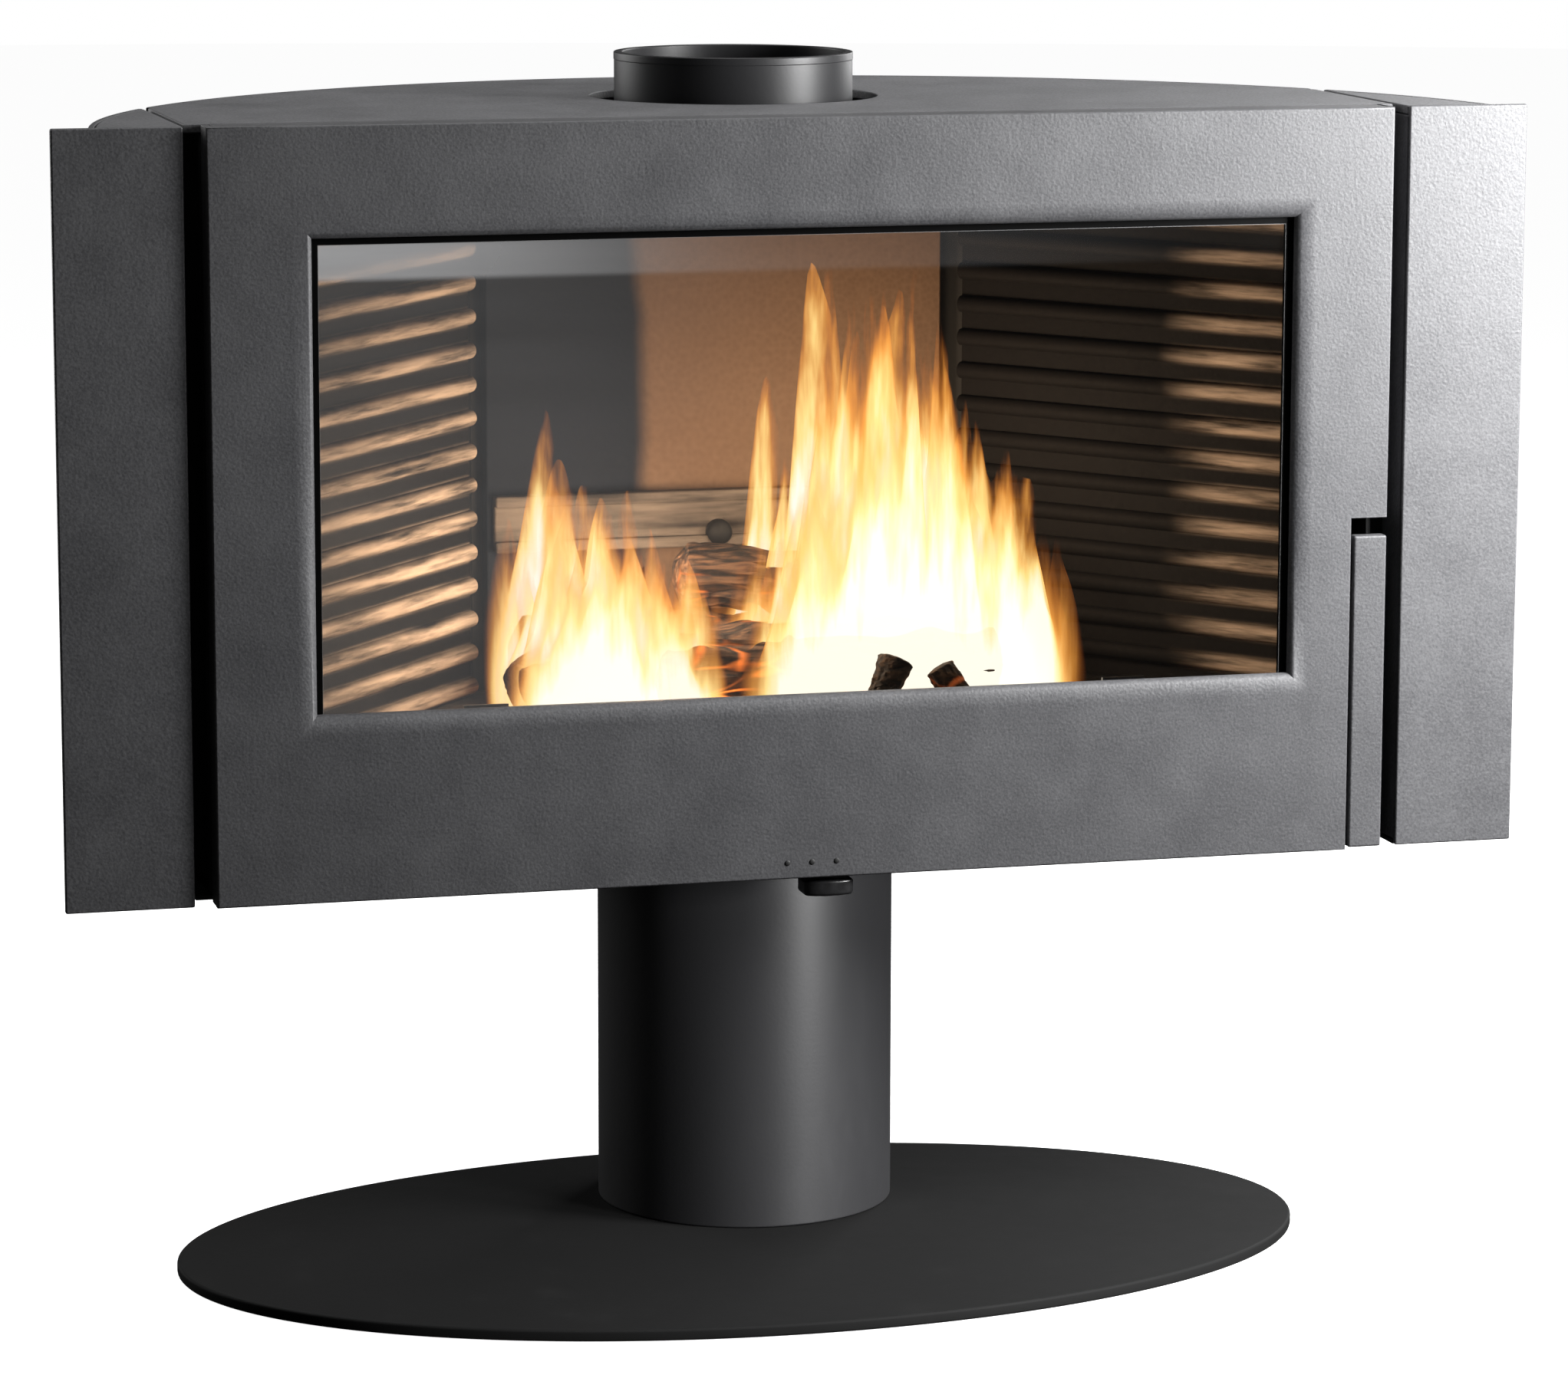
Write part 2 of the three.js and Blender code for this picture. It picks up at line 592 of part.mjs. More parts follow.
const panLow = FLOOR_TOP + TOUCH;
const panHollow = block(
  -PAN_HALF + PAN_SHEET,
  PAN_HALF - PAN_SHEET,
  PAN_FRONT + PAN_SHEET,
  PAN_FRONT + PAN_DEPTH - PAN_SHEET,
  panLow + PAN_SHEET,
  panLow + PAN_HEIGHT + 1,
);
const panBox = block(-PAN_HALF, PAN_HALF, PAN_FRONT, PAN_FRONT + PAN_DEPTH, panLow, panLow + PAN_HEIGHT);
mesh("ash_pan", cut(panBox, panHollow), BRIGHT_STEEL, body);

// A slab of cast iron with level ribs over its inner face, drawn along the slanted side of the firebox.
function ribbedOutline(z0, z1) {
  const points = [
    [LINER_THICKNESS, z0],
    [LINER_THICKNESS, z1],
    [RIB_DEPTH, z1],
  ];
  const count = Math.floor((z1 - z0 - RIB_WIDTH) / RIB_PITCH);
  const margin = (z1 - z0 - count * RIB_PITCH) / 2;
  for (let i = count; i >= 0; i--) {
    const z = z0 + margin + i * RIB_PITCH;
    points.push([RIB_DEPTH, z + RIB_WIDTH / 2], [0, z + RIB_WIDTH / 5]);
    points.push([0, z - RIB_WIDTH / 5], [RIB_DEPTH, z - RIB_WIDTH / 2]);
  }
  points.push([RIB_DEPTH, z0]);
  return points;
}
const linerLow = HEARTH_TOP + TOUCH;
const linerHigh = FIREBOX_ROOF - 6;
const linerCut = 14; // the liner's back end is kept clear of the back liner
const ribbed = barAlongX(ribbedOutline(linerLow, linerHigh).reverse(), linerCut, slantLength);
const slant = new THREE.Vector3(LINER_FRONT_HALF - LINER_BACK_HALF, -LINER_DEPTH, 0).normalize();
const across = new THREE.Vector3(-slant.y, slant.x, 0);
const linerPlace = new THREE.Matrix4().makeBasis(slant, across, new THREE.Vector3(0, 0, 1));
linerPlace.setPosition(LINER_BACK_HALF, LINER_BACK_Y, 0);
const rightLiner = ribbed.applyMatrix4(linerPlace);
pair("side_liner", rightLiner, CAST_LINER, body);

mesh(
  "back_liner",
  block(-LINER_BACK_HALF, LINER_BACK_HALF, LINER_BACK_Y, LINER_BACK_Y + BACK_LINER - TOUCH, linerLow, linerHigh),
  BRICK,
  body,
);

const barHalf = LINER_BACK_HALF - 4;
const barBack = LINER_BACK_Y - TOUCH;
const barFront = barBack - AIR_BAR_DEPTH;
const barHigh = AIR_BAR_LOW + AIR_BAR_HEIGHT;
mesh(
  "air_bar",
  barAlongX(
    [
      [barFront, AIR_BAR_LOW + 4],
      [barFront + 4, AIR_BAR_LOW],
      [barBack, AIR_BAR_LOW],
      [barBack, barHigh],
      [barFront + 4, barHigh],
      [barFront, barHigh - 4],
    ],
    -barHalf,
    barHalf,
  ),
  CAST_LINER,
  body,
);
const barBolt = rod(BOLT_HEAD_RADIUS + 1, BOLT_HEAD_HEIGHT, 0, 16).rotateX(Math.PI / 2);
mesh("air_bar_bolt", barBolt, BLACK_STEEL, body, [0, barFront - TOUCH, AIR_BAR_LOW + AIR_BAR_BOLT_UP]);

const baffleBack = LINER_BACK_Y - 2;
mesh(
  "smoke_baffle",
  plate(insideOutline(baffleBack - BAFFLE_REACH, baffleBack, -BAFFLE_CLEARANCE), BAFFLE_Z, BAFFLE_Z + BAFFLE_THICKNESS),
  CAST_LINER,
  body,
);

// -- flue --
const flangeLow = FIREBOX_ROOF + STEEL + TOUCH;
mesh(
  "flue_collar",
  lathe(
    [
      [COLLAR_BORE / 2, flangeLow],
      [COLLAR_OUTER + FLANGE_WIDTH, flangeLow],
      [COLLAR_OUTER + FLANGE_WIDTH, flangeLow + FLANGE_THICKNESS],
      [COLLAR_OUTER, flangeLow + FLANGE_THICKNESS],
      [COLLAR_OUTER, BODY_HEIGHT + COLLAR_ABOVE],
      [COLLAR_BORE / 2, BODY_HEIGHT + COLLAR_ABOVE],
      [COLLAR_BORE / 2, flangeLow],
    ],
    64,
  ),
  BLACK_STEEL,
  body,
  [0, COLLAR_BEHIND, 0],
);

// -- hinge brackets and keeper, fixed to the firebox's front frame --
function hingeBracket(z0) {
  const z1 = z0 + BRACKET_THICKNESS;
  const frameEdge = -FRAME_HALF - TOUCH;
  const arm = block(HINGE_X, frameEdge, HINGE_Y - KNUCKLE_RADIUS, HINGE_Y + 5, z0, z1);
  const foot = block(frameEdge - 6, frameEdge, HINGE_Y - KNUCKLE_RADIUS, FRAME_BACK + 10, z0, z1);
  const eye = rod(KNUCKLE_RADIUS, BRACKET_THICKNESS, z0).translate(HINGE_X, HINGE_Y, 0);
  const bore = rod(PIN_RADIUS + PIN_CLEARANCE, BRACKET_THICKNESS + 2, z0 - 1).translate(HINGE_X, HINGE_Y, 0);
  return geometryOf(solid(join(eye, arm, foot)).subtract(solid(bore)));
}
const upperBracket = BODY_HEIGHT - RIM_WALL - BRACKET_DROP - BRACKET_THICKNESS;
const lowerBracket = RIM_WALL + BRACKET_DROP;
mesh("hinge_bracket_upper", hingeBracket(upperBracket), BLACK_STEEL, body);
mesh("hinge_bracket_lower", hingeBracket(lowerBracket), BLACK_STEEL, body);

const tongueBack = HANDLE_THICKNESS + EAR_DEPTH + TOUCH + TONGUE_LENGTH;
const keeperX = FRAME_HALF + TOUCH;
const keeperZ = [PIVOT_Z - KEEPER_HEIGHT / 2, PIVOT_Z + KEEPER_HEIGHT / 2];
const catchY = tongueBack + LATCH_CLEARANCE;
mesh(
  "latch_keeper",
  join(
    block(keeperX, keeperX + KEEPER_PLATE, FRAME_BEHIND + 2, FRAME_BEHIND + 2 + KEEPER_DEPTH, ...keeperZ),
    block(keeperX, EAR_LEFT + TONGUE_WIDTH + 2, catchY, catchY + KEEPER_PLATE, ...keeperZ),
  ),
  BLACK_STEEL,
  body,
);

// -- door --
const door = new THREE.Group();
body.add(door);

// The turned-back rim along the top or bottom, rounded at the hinge corner so that it clears the plate behind it.
function rimStrip(z0, z1) {
  const back = DOOR_RETURN - HINGE_Y;
  const shape = new THREE.Shape();
  shape.moveTo(-DOOR_HALF, DOOR_PLATE / 2);
  shape.lineTo(DOOR_HALF, DOOR_PLATE / 2);
  shape.lineTo(DOOR_HALF, DOOR_RETURN);
  const from = Math.PI - Math.asin(back / HINGE_SWEEP);
  const to = Math.acos(-HINGE_X_INSET / HINGE_SWEEP);
  shape.absarc(HINGE_X, HINGE_Y, HINGE_SWEEP, from, to, false);
  return plate(shape, z0, z1, 6);
}

// The sloped cut round the window, a pyramid with its point cut off, lying along Y.
function windowCut() {
  const spread = WINDOW_BORDER / DOOR_PLATE;
  const reach = 1;
  const depth = DOOR_PLATE + 2 * reach;
  const geometry = new THREE.BoxGeometry(2, depth, 2);
  const middleZ = (WINDOW_BELOW + WINDOW_TOP) / 2;
  const halfHeight = (WINDOW_TOP - WINDOW_BELOW) / 2;
  const corner = geometry.attributes.position;
  for (let i = 0; i < corner.count; i++) {
    const y = corner.getY(i) + depth / 2 - reach;
    const shrink = y * spread;
    corner.setXYZ(
      i,
      corner.getX(i) * (WINDOW_HALF - shrink),
      y,
      middleZ + corner.getZ(i) * (halfHeight - shrink),
    );
  }
  return geometry;
}

const handleCut = block(HANDLE_LEFT - HANDLE_GAP, DOOR_HALF + 1, -1, DOOR_RETURN + 1, -1, HANDLE_TOP + HANDLE_NOTCH);
const leftRimDepth = HINGE_Y + Math.sqrt(HINGE_SWEEP ** 2 - HINGE_X_INSET ** 2) - 0.2;
const doorSolid = join(
  block(-DOOR_HALF, DOOR_HALF, 0, DOOR_PLATE, 0, BODY_HEIGHT),
  rimStrip(0, RIM_WALL),
  rimStrip(BODY_HEIGHT - RIM_WALL, BODY_HEIGHT),
  block(-DOOR_HALF, -DOOR_HALF + RIM_WALL, DOOR_PLATE / 2, leftRimDepth, 0, BODY_HEIGHT),
  block(DOOR_HALF - RIM_WALL, DOOR_HALF, DOOR_PLATE / 2, DOOR_RETURN, 0, BODY_HEIGHT),
);
mesh("door_panel", cut(doorSolid, windowCut(), handleCut), CAST_PAINT, door);

const glassOuter = { half: OPENING_HALF + GLASS_LAP, low: OPENING_LOW - GLASS_LAP, high: OPENING_HIGH + GLASS_LAP };
const shrunk = (size, by) => ({ half: size.half - by, low: size.low + by, high: size.high - by });
const tapeBack = DOOR_PLATE + TOUCH + GLASS_TAPE;
mesh(
  "glass_tape",
  uprightFrame(glassOuter, shrunk(glassOuter, GLASS_TAPE_WIDTH), DOOR_PLATE + TOUCH, tapeBack),
  ROPE,
  door,
);
const glassFront = tapeBack + TOUCH;
const glassBack = glassFront + GLASS_THICKNESS;
mesh(
  "door_glass",
  block(-glassOuter.half, glassOuter.half, glassFront, glassBack, glassOuter.low, glassOuter.high),
  GLASS,
  door,
);

// A bent clip that holds an edge of the glass: foot on the panel, step, and tongue over the glass.
const clipFoot = DOOR_PLATE + TOUCH;
const clipHold = glassBack + TOUCH;
const clipOutline = [
  [clipFoot, CLIP_FOOT],
  [clipFoot, 1],
  [clipHold, 1],
  [clipHold, -CLIP_HOLD],
  [clipHold + CLIP_SHEET, -CLIP_HOLD],
  [clipHold + CLIP_SHEET, 1 + CLIP_SHEET],
  [clipFoot + CLIP_SHEET, 1 + CLIP_SHEET],
  [clipFoot + CLIP_SHEET, CLIP_FOOT],
];
const upperClip = barAlongX(clipOutline, -CLIP_WIDTH / 2, CLIP_WIDTH / 2);
const lowerClip = geometryOf(solid(upperClip).mirror([0, 0, 1]));
[-1, 1].forEach((side) => {
  const hand = side < 0 ? "left" : "right";
  mesh(`glass_clip_upper_${hand}`, upperClip, BRIGHT_STEEL, door, [side * CLIP_X, 0, glassOuter.high]);
  mesh(`glass_clip_lower_${hand}`, lowerClip, BRIGHT_STEEL, door, [side * CLIP_X, 0, glassOuter.low]);
});

const ropeOuter = { half: DOOR_HALF - ROPE_MARGIN, low: ROPE_MARGIN_Z, high: BODY_HEIGHT - ROPE_MARGIN_Z };
mesh(
  "door_rope",
  uprightFrame(ropeOuter, shrunk(ropeOuter, ROPE_WIDTH), DOOR_PLATE + TOUCH, FRAME_BEHIND - TOUCH),
  ROPE,
  door,
);

const pinPlace = [HINGE_X, HINGE_Y, 0];
const upperPin = rod(PIN_RADIUS, PIN_LENGTH, BODY_HEIGHT - RIM_WALL - TOUCH - PIN_LENGTH);
mesh("hinge_pin_upper", upperPin, BRIGHT_STEEL, door, pinPlace);
mesh("hinge_pin_lower", rod(PIN_RADIUS, PIN_LENGTH, RIM_WALL + TOUCH), BRIGHT_STEEL, door, pinPlace);

// -- handle, on its pivot --
const bore = (radius, x0, x1) =>
  rod(radius, x1 - x0, 0)
    .rotateY(Math.PI / 2)
    .translate(x0, PIVOT_Y, PIVOT_Z);
const lugRight = HANDLE_LEFT - HANDLE_GAP - 1;
const lugLeft = lugRight - LUG_WIDTH;
const earZ = [PIVOT_Z - EAR_HEIGHT / 2, PIVOT_Z + EAR_HEIGHT / 2];
const lug = block(lugLeft, lugRight, DOOR_PLATE + TOUCH, HANDLE_THICKNESS + EAR_DEPTH, ...earZ);
const pivotBore = PIVOT_RADIUS + PIVOT_CLEARANCE;
mesh("handle_lug", cut(lug, bore(pivotBore, lugLeft - 1, lugRight + 1)), BLACK_STEEL, door);
const earRight = EAR_LEFT + EAR_WIDTH;
mesh("handle_pivot_pin", bore(PIVOT_RADIUS, lugLeft + 1, earRight + 4), BRIGHT_STEEL, door);

const handle = new THREE.Group();
door.add(handle);
const handleBar = block(HANDLE_LEFT, DOOR_HALF, 0, HANDLE_THICKNESS, HANDLE_LIFT, HANDLE_TOP);
const ear = block(EAR_LEFT, earRight, HANDLE_THICKNESS - 1, HANDLE_THICKNESS + EAR_DEPTH, ...earZ);
mesh("handle_bar", cut(join(handleBar, ear), bore(pivotBore, EAR_LEFT - 1, earRight + 1)), CAST_PAINT, handle);
mesh(
  "latch_tongue",
  block(
    EAR_LEFT,
    EAR_LEFT + TONGUE_WIDTH,
    tongueBack - TONGUE_LENGTH,
    tongueBack,
    PIVOT_Z - TONGUE_HEIGHT / 2,
    PIVOT_Z + TONGUE_HEIGHT / 2,
  ),
  BLACK_STEEL,
  handle,
);

// -- air control, under the door --
const air = new THREE.Group();
air.position.set(KNOB_X, 0, 0); // its origin is under the knob's middle
body.add(air);
const knobTop = -KNOB_BELOW;
const knobBack = KNOB_FRONT + KNOB_DEPTH;
const knobShape = new THREE.Shape();
knobShape.moveTo(-KNOB_WIDTH / 2, knobBack);
knobShape.lineTo(-KNOB_WIDTH / 2 + 2, KNOB_FRONT + 6);
knobShape.quadraticCurveTo(0, KNOB_FRONT - 6, KNOB_WIDTH / 2 - 2, KNOB_FRONT + 6);
knobShape.lineTo(KNOB_WIDTH / 2, knobBack);
mesh("air_knob", plate(knobShape, knobTop - KNOB_HEIGHT, knobTop, 8), BLACK_PLASTIC, air);
const leverTop = knobTop - 1;
const leverBar = block(
  -LEVER_WIDTH / 2,
  LEVER_WIDTH / 2,
  knobBack + TOUCH,
  LEVER_REACH,
  leverTop - LEVER_THICKNESS,
  leverTop,
);
const leverUpright = block(
  -LEVER_WIDTH / 2,
  LEVER_WIDTH / 2,
  leverY0,
  LEVER_REACH,
  leverTop - 1,
  BOTTOM_THICKNESS + TOUCH,
);
mesh("air_lever", join(leverBar, leverUpright), BLACK_STEEL, air);
const shutterLow = BOTTOM_THICKNESS + 2 * TOUCH;
mesh(
  "air_shutter",
  block(
    -SHUTTER_LENGTH / 2,
    SHUTTER_LENGTH / 2,
    leverY0 - 3,
    leverY0 - 3 + SHUTTER_DEPTH,
    shutterLow,
    shutterLow + SHUTTER_THICKNESS,
  ),
  BRIGHT_STEEL,
  air,
);

export default stove;
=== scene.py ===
"""A wide wood-burning stove on a pedestal: the looks of every piece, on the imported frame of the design."""

import json
import logging
import math
from dataclasses import dataclass, field
from enum import Enum
from typing import Any, Iterable, Optional, Sequence

import bmesh
import bpy
from mathutils import Matrix, Vector, noise

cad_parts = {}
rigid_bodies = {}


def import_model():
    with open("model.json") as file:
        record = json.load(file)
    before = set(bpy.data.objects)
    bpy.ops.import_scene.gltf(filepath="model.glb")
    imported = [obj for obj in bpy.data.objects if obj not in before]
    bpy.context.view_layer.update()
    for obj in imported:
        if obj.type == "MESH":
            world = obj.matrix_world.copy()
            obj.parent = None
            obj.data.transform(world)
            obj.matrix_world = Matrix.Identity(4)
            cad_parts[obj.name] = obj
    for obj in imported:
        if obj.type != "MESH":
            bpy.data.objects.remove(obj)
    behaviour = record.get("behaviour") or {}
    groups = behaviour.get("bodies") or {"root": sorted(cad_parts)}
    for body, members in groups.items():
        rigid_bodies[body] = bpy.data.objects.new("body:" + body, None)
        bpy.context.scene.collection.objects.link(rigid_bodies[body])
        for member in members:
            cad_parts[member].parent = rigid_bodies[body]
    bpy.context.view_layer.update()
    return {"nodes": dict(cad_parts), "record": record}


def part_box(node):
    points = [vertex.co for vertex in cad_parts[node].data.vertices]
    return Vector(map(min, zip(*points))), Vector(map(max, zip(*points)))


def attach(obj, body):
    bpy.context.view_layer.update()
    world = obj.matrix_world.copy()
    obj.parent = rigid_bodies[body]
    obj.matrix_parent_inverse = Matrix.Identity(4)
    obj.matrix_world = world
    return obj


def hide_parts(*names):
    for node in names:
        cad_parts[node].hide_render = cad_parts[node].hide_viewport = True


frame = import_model()

logging.basicConfig(level=logging.INFO, format="%(message)s")
LOG = logging.getLogger("stove")

MM = 0.001
SMOOTH_ANGLE = math.radians(40)
Point = tuple[float, float]
Colour = tuple[float, float, float]


class Body(Enum):
    """The moving bodies that a piece can ride on."""

    ROOT = "root"
    DOOR = "door"
    HANDLE = "handle"
    AIR = "air_control"


class Slot(Enum):
    """The record's material slots."""

    CAST_PAINT = "cast_paint"
    TOP_PAINT = "top_paint"
    SATIN_BLACK = "satin_black"
    BASE_BLACK = "base_black"
    BLACK_STEEL = "black_steel"
    CAST_LINER = "cast_liner"
    FIRE_BRICK = "fire_brick"
    BARE_STEEL = "bare_steel"
    KNOB_BLACK = "knob_black"
    SEAL_ROPE = "seal_rope"
    FIRE_GLASS = "fire_glass"


class Side(Enum):
    """The two hands of a paired piece."""

    LEFT = -1
    RIGHT = 1

    @property
    def word(self) -> str:
        """The hand as it stands in a piece's name."""
        return self.name.lower()


# ---------------------------------------------------------------- node trees


class Value:
    """A node's output socket that can stand in a Python expression."""

    def __init__(self, net: "Net", socket: bpy.types.NodeSocket) -> None:
        """Keep the socket and the net that it belongs to."""
        self.net = net
        self.socket = socket

    def _math(self, operation: str, first: Any, second: Any) -> "Value":
        """Add one Math node on two values.

        Args:
            operation: the Math node's operation.
            first: a value or a number.
            second: a value or a number.

        Returns:
            The node's result.
        """
        return self.net.value("ShaderNodeMath", {"operation": operation}, {0: first, 1: second})

    def __add__(self, other: Any) -> "Value":
        """Sum."""
        return self._math("ADD", self, other)

    __radd__ = __add__

    def __sub__(self, other: Any) -> "Value":
        """Difference."""
        return self._math("SUBTRACT", self, other)

    def __rsub__(self, other: Any) -> "Value":
        """Difference, the other way round."""
        return self._math("SUBTRACT", other, self)

    def __mul__(self, other: Any) -> "Value":
        """Product."""
        return self._math("MULTIPLY", self, other)

    __rmul__ = __mul__

    def __abs__(self) -> "Value":
        """Size without its sign."""
        return self._math("ABSOLUTE", self, 0.0)

    def most(self, other: Any) -> "Value":
        """The greater of this and another value."""
        return self._math("MAXIMUM", self, other)

    def least(self, other: Any) -> "Value":
        """The smaller of this and another value."""
        return self._math("MINIMUM", self, other)

    def step(self, low: float, high: float) -> "Value":
        """Rise smoothly from 0 at low to 1 at high.

        Args:
            low: the value at which the result is 0.
            high: the value at which the result is 1.

        Returns:
            The eased value.
        """
        settings = {"interpolation_type": "SMOOTHSTEP"}
        if low < high:
            return self.net.value("ShaderNodeMapRange", settings, {"Value": self, 1: low, 2: high})
        return 1 - self.net.value("ShaderNodeMapRange", settings, {"Value": self, 1: high, 2: low})


class Net:
    """A node tree with one way to add a node."""

    def __init__(self, tree: bpy.types.NodeTree) -> None:
        """Work on the given tree."""
        self.tree = tree

    def node(
        self, kind: str, settings: Optional[dict] = None, inputs: Optional[dict] = None
    ) -> bpy.types.Node:
        """Add a node.

        Args:
            kind: the node's type.
            settings: its own settings; "stops" holds a ramp's (place, colour) pairs.
            inputs: numbers, colours, values or sockets for its inputs, by name or place.

        Returns:
            The new node.
        """
        made = self.tree.nodes.new(kind)
        for key, setting in (settings or {}).items():
            if key == "stops":
                self._fill_ramp(made.color_ramp, setting)
            else:
                setattr(made, key, setting)
        for key, given in (inputs or {}).items():
            source = given.socket if isinstance(given, Value) else given
            if isinstance(source, bpy.types.NodeSocket):
                self.tree.links.new(source, made.inputs[key])
            else:
                made.inputs[key].default_value = source
        return made

    @staticmethod
    def _fill_ramp(ramp: bpy.types.ColorRamp, stops: Sequence[tuple[float, Colour]]) -> None:
        """Give a ramp its stops."""
        while len(ramp.elements) < len(stops):
            ramp.elements.new(1.0)
        for element, (place, colour) in zip(ramp.elements, stops):
            element.position = place
            element.color = (*colour, 1.0)

    def value(
        self,
        kind: str,
        settings: Optional[dict] = None,
        inputs: Optional[dict] = None,
        out: Any = 0,
    ) -> Value:
        """Add a node and return one of its outputs as a value."""
        return Value(self, self.node(kind, settings, inputs).outputs[out])

    def mix(self, factor: Any, first: Any, second: Any) -> Value:
        """Mix two colours.

        Args:
            factor: how much of the second colour.
            first: a colour or a value.
            second: a colour or a value.

        Returns:
            The mixed colour.
        """
        first, second = (c if isinstance(c, Value) else (*c, 1.0) for c in (first, second))
        made = self.node("ShaderNodeMix", {"data_type": "RGBA"}, {0: factor, 6: first, 7: second})
        return Value(self, made.outputs[2])

    def grain(self, where: Value, scale: float, detail: float = 3.0, roughness: float = 0.5) -> Value:
        """Noise from 0 to 1 over the given coordinates."""
        inputs = {"Vector": where, "Scale": scale, "Detail": detail, "Roughness": roughness}
        return self.value("ShaderNodeTexNoise", {}, inputs, 0)

    def stretched(self, where: Value, scale: tuple[float, float, float]) -> Value:
        """Coordinates drawn out or squeezed along each axis."""
        return self.value("ShaderNodeMapping", {}, {"Vector": where, "Scale": scale})

    def bump(self, height: Value, strength: float, distance: float) -> Value:
        """A bumped normal from a height."""
        inputs = {"Height": height, "Strength": strength, "Distance": distance}
        return self.value("ShaderNodeBump", {}, inputs)

    def axes(self, where: Value) -> tuple[Value, Value, Value]:
        """The three parts of a vector."""
        parts = self.node("ShaderNodeSeparateXYZ", {}, {0: where})
        across, deep, up = (Value(self, socket) for socket in parts.outputs)
        return across, deep, up

    def ramp(self, place: Value, stops: Sequence[tuple[float, Colour]]) -> Value:
        """Colours along a ramp."""
        return self.value("ShaderNodeValToRGB", {"stops": stops}, {0: place})


@dataclass(frozen=True)
class Finish:
    """A material that is built once, at its first use."""

    label: str

    def build(self, net: Net, where: Value, shader: bpy.types.Node) -> None:
        """Dress the shader; each finish has its own way."""
        raise NotImplementedError

    def surface(self, net: Net, where: Value) -> Value:
        """The finish's shading: one dressed shader, unless a finish says otherwise."""
        shader = net.node("ShaderNodeBsdfPrincipled")
        self.build(net, where, shader)
        return Value(net, shader.outputs[0])

    def material(self) -> bpy.types.Material:
        """The finish's material, made at the first call."""
        known = bpy.data.materials.get(self.label)
        if known:
            return known
        made = bpy.data.materials.new(self.label)
        made.use_nodes = True
        made.node_tree.nodes.clear()
        net = Net(made.node_tree)
        where = net.value("ShaderNodeTexCoord", out="Object")
        net.node("ShaderNodeOutputMaterial", {}, {"Surface": self.surface(net, where)})
        return made


def feed(net: Net, shader: bpy.types.Node, **inputs: Any) -> None:
    """Link values, or set numbers and colours, on a shader's sockets.

    Args:
        net: the shader's net.
        shader: the shader node.
        inputs: socket names, with underscores for spaces.
    """
    for key, given in inputs.items():
        socket = shader.inputs[key.replace("_", " ")]
        if isinstance(given, Value):
            net.tree.links.new(given.socket, socket)
        else:
            socket.default_value = given


@dataclass(frozen=True)
class CastPaint(Finish):
    """Matte stove paint over the fine grain of a sand casting."""

    dark: Colour = (0.040, 0.040, 0.043)
    light: Colour = (0.082, 0.082, 0.086)
    roughness: float = 0.52
    bump: float = 0.35

    def build(self, net: Net, where: Value, shader: bpy.types.Node) -> None:
        """Fine specks, slow mottling, and a pebbled surface."""
        specks = net.grain(where, 620.0, 2.0, 0.6)
        cells = {"Vector": where, "Scale": 430.0}
        pebbles = net.value("ShaderNodeTexVoronoi", {"feature": "SMOOTH_F1"}, cells)
        mottle = net.grain(where, 22.0, 5.0, 0.6)
        clouds = net.grain(where, 4.0, 2.0, 0.5)
        tone = (specks * 0.75 + mottle * 0.35 + clouds * 0.25).step(0.42, 0.95)
        feed(
            net,
            shader,
            Base_Color=net.mix(tone, self.dark, self.light),
            Roughness=mottle * 0.16 + (self.roughness - 0.08),
            Normal=net.bump(specks * 0.7 + pebbles * 0.6, self.bump, 0.0006),
            Specular_IOR_Level=0.5,
        )


@dataclass(frozen=True)
class SmoothPaint(Finish):
    """Heat-proof paint sprayed on sheet or tube."""

    colour: Colour = (0.018, 0.018, 0.020)
    roughness: float = 0.38
    scuff: float = 0.25
    gloss: float = 0.4

    def build(self, net: Net, where: Value, shader: bpy.types.Node) -> None:
        """An even coat with orange-peel and faint dusty scuffs."""
        peel = net.grain(where, 420.0, 1.0)
        dust = net.grain(net.stretched(where, (1.0, 1.0, 0.4)), 14.0, 6.0, 0.65)
        # Dusty scuffs only in this paint, with no painted light.
        worn = dust.step(0.55, 0.8) * self.scuff
        pale = tuple(min(1.0, c * 2.6 + 0.01) for c in self.colour)
        feed(
            net,
            shader,
            Base_Color=net.mix(worn, self.colour, pale),
            Roughness=dust * 0.22 + (self.roughness - 0.1),
            Normal=net.bump(peel, 0.12, 0.0003),
            Specular_IOR_Level=self.gloss,
        )


@dataclass(frozen=True)
class RawCast(Finish):
    """Bare cast iron inside the firebox, dusted with ash where the fire sweeps it."""

    ash: Colour = (0.20, 0.165, 0.135)
    iron: Colour = (0.022, 0.020, 0.019)

    # On plain cast iron this mask is ash alone; the ribbed liners replace it with painted highlight and
    # painted shade.
    def worn(self, net: Net, where: Value) -> Value:
        """How much ash shows, from 0 to 1."""
        streaks = net.grain(net.stretched(where, (6.0, 6.0, 60.0)), 1.6, 5.0, 0.6)
        return (streaks * 0.8 + net.grain(where, 18.0, 4.0) * 0.4).step(0.35, 0.8)

    def build(self, net: Net, where: Value, shader: bpy.types.Node) -> None:
        """Ash over rough iron."""
        sand = net.grain(where, 300.0, 3.0)
        # On the ribbed liners the pale colour is a painted highlight and the dark colour is partly painted
        # shade.
        feed(
            net,
            shader,
            Base_Color=net.mix(self.worn(net, where), self.iron, self.ash),
            Roughness=sand * 0.2 + 0.65,
            Normal=net.bump(sand, 0.3, 0.0008),
            Specular_IOR_Level=0.12,
        )


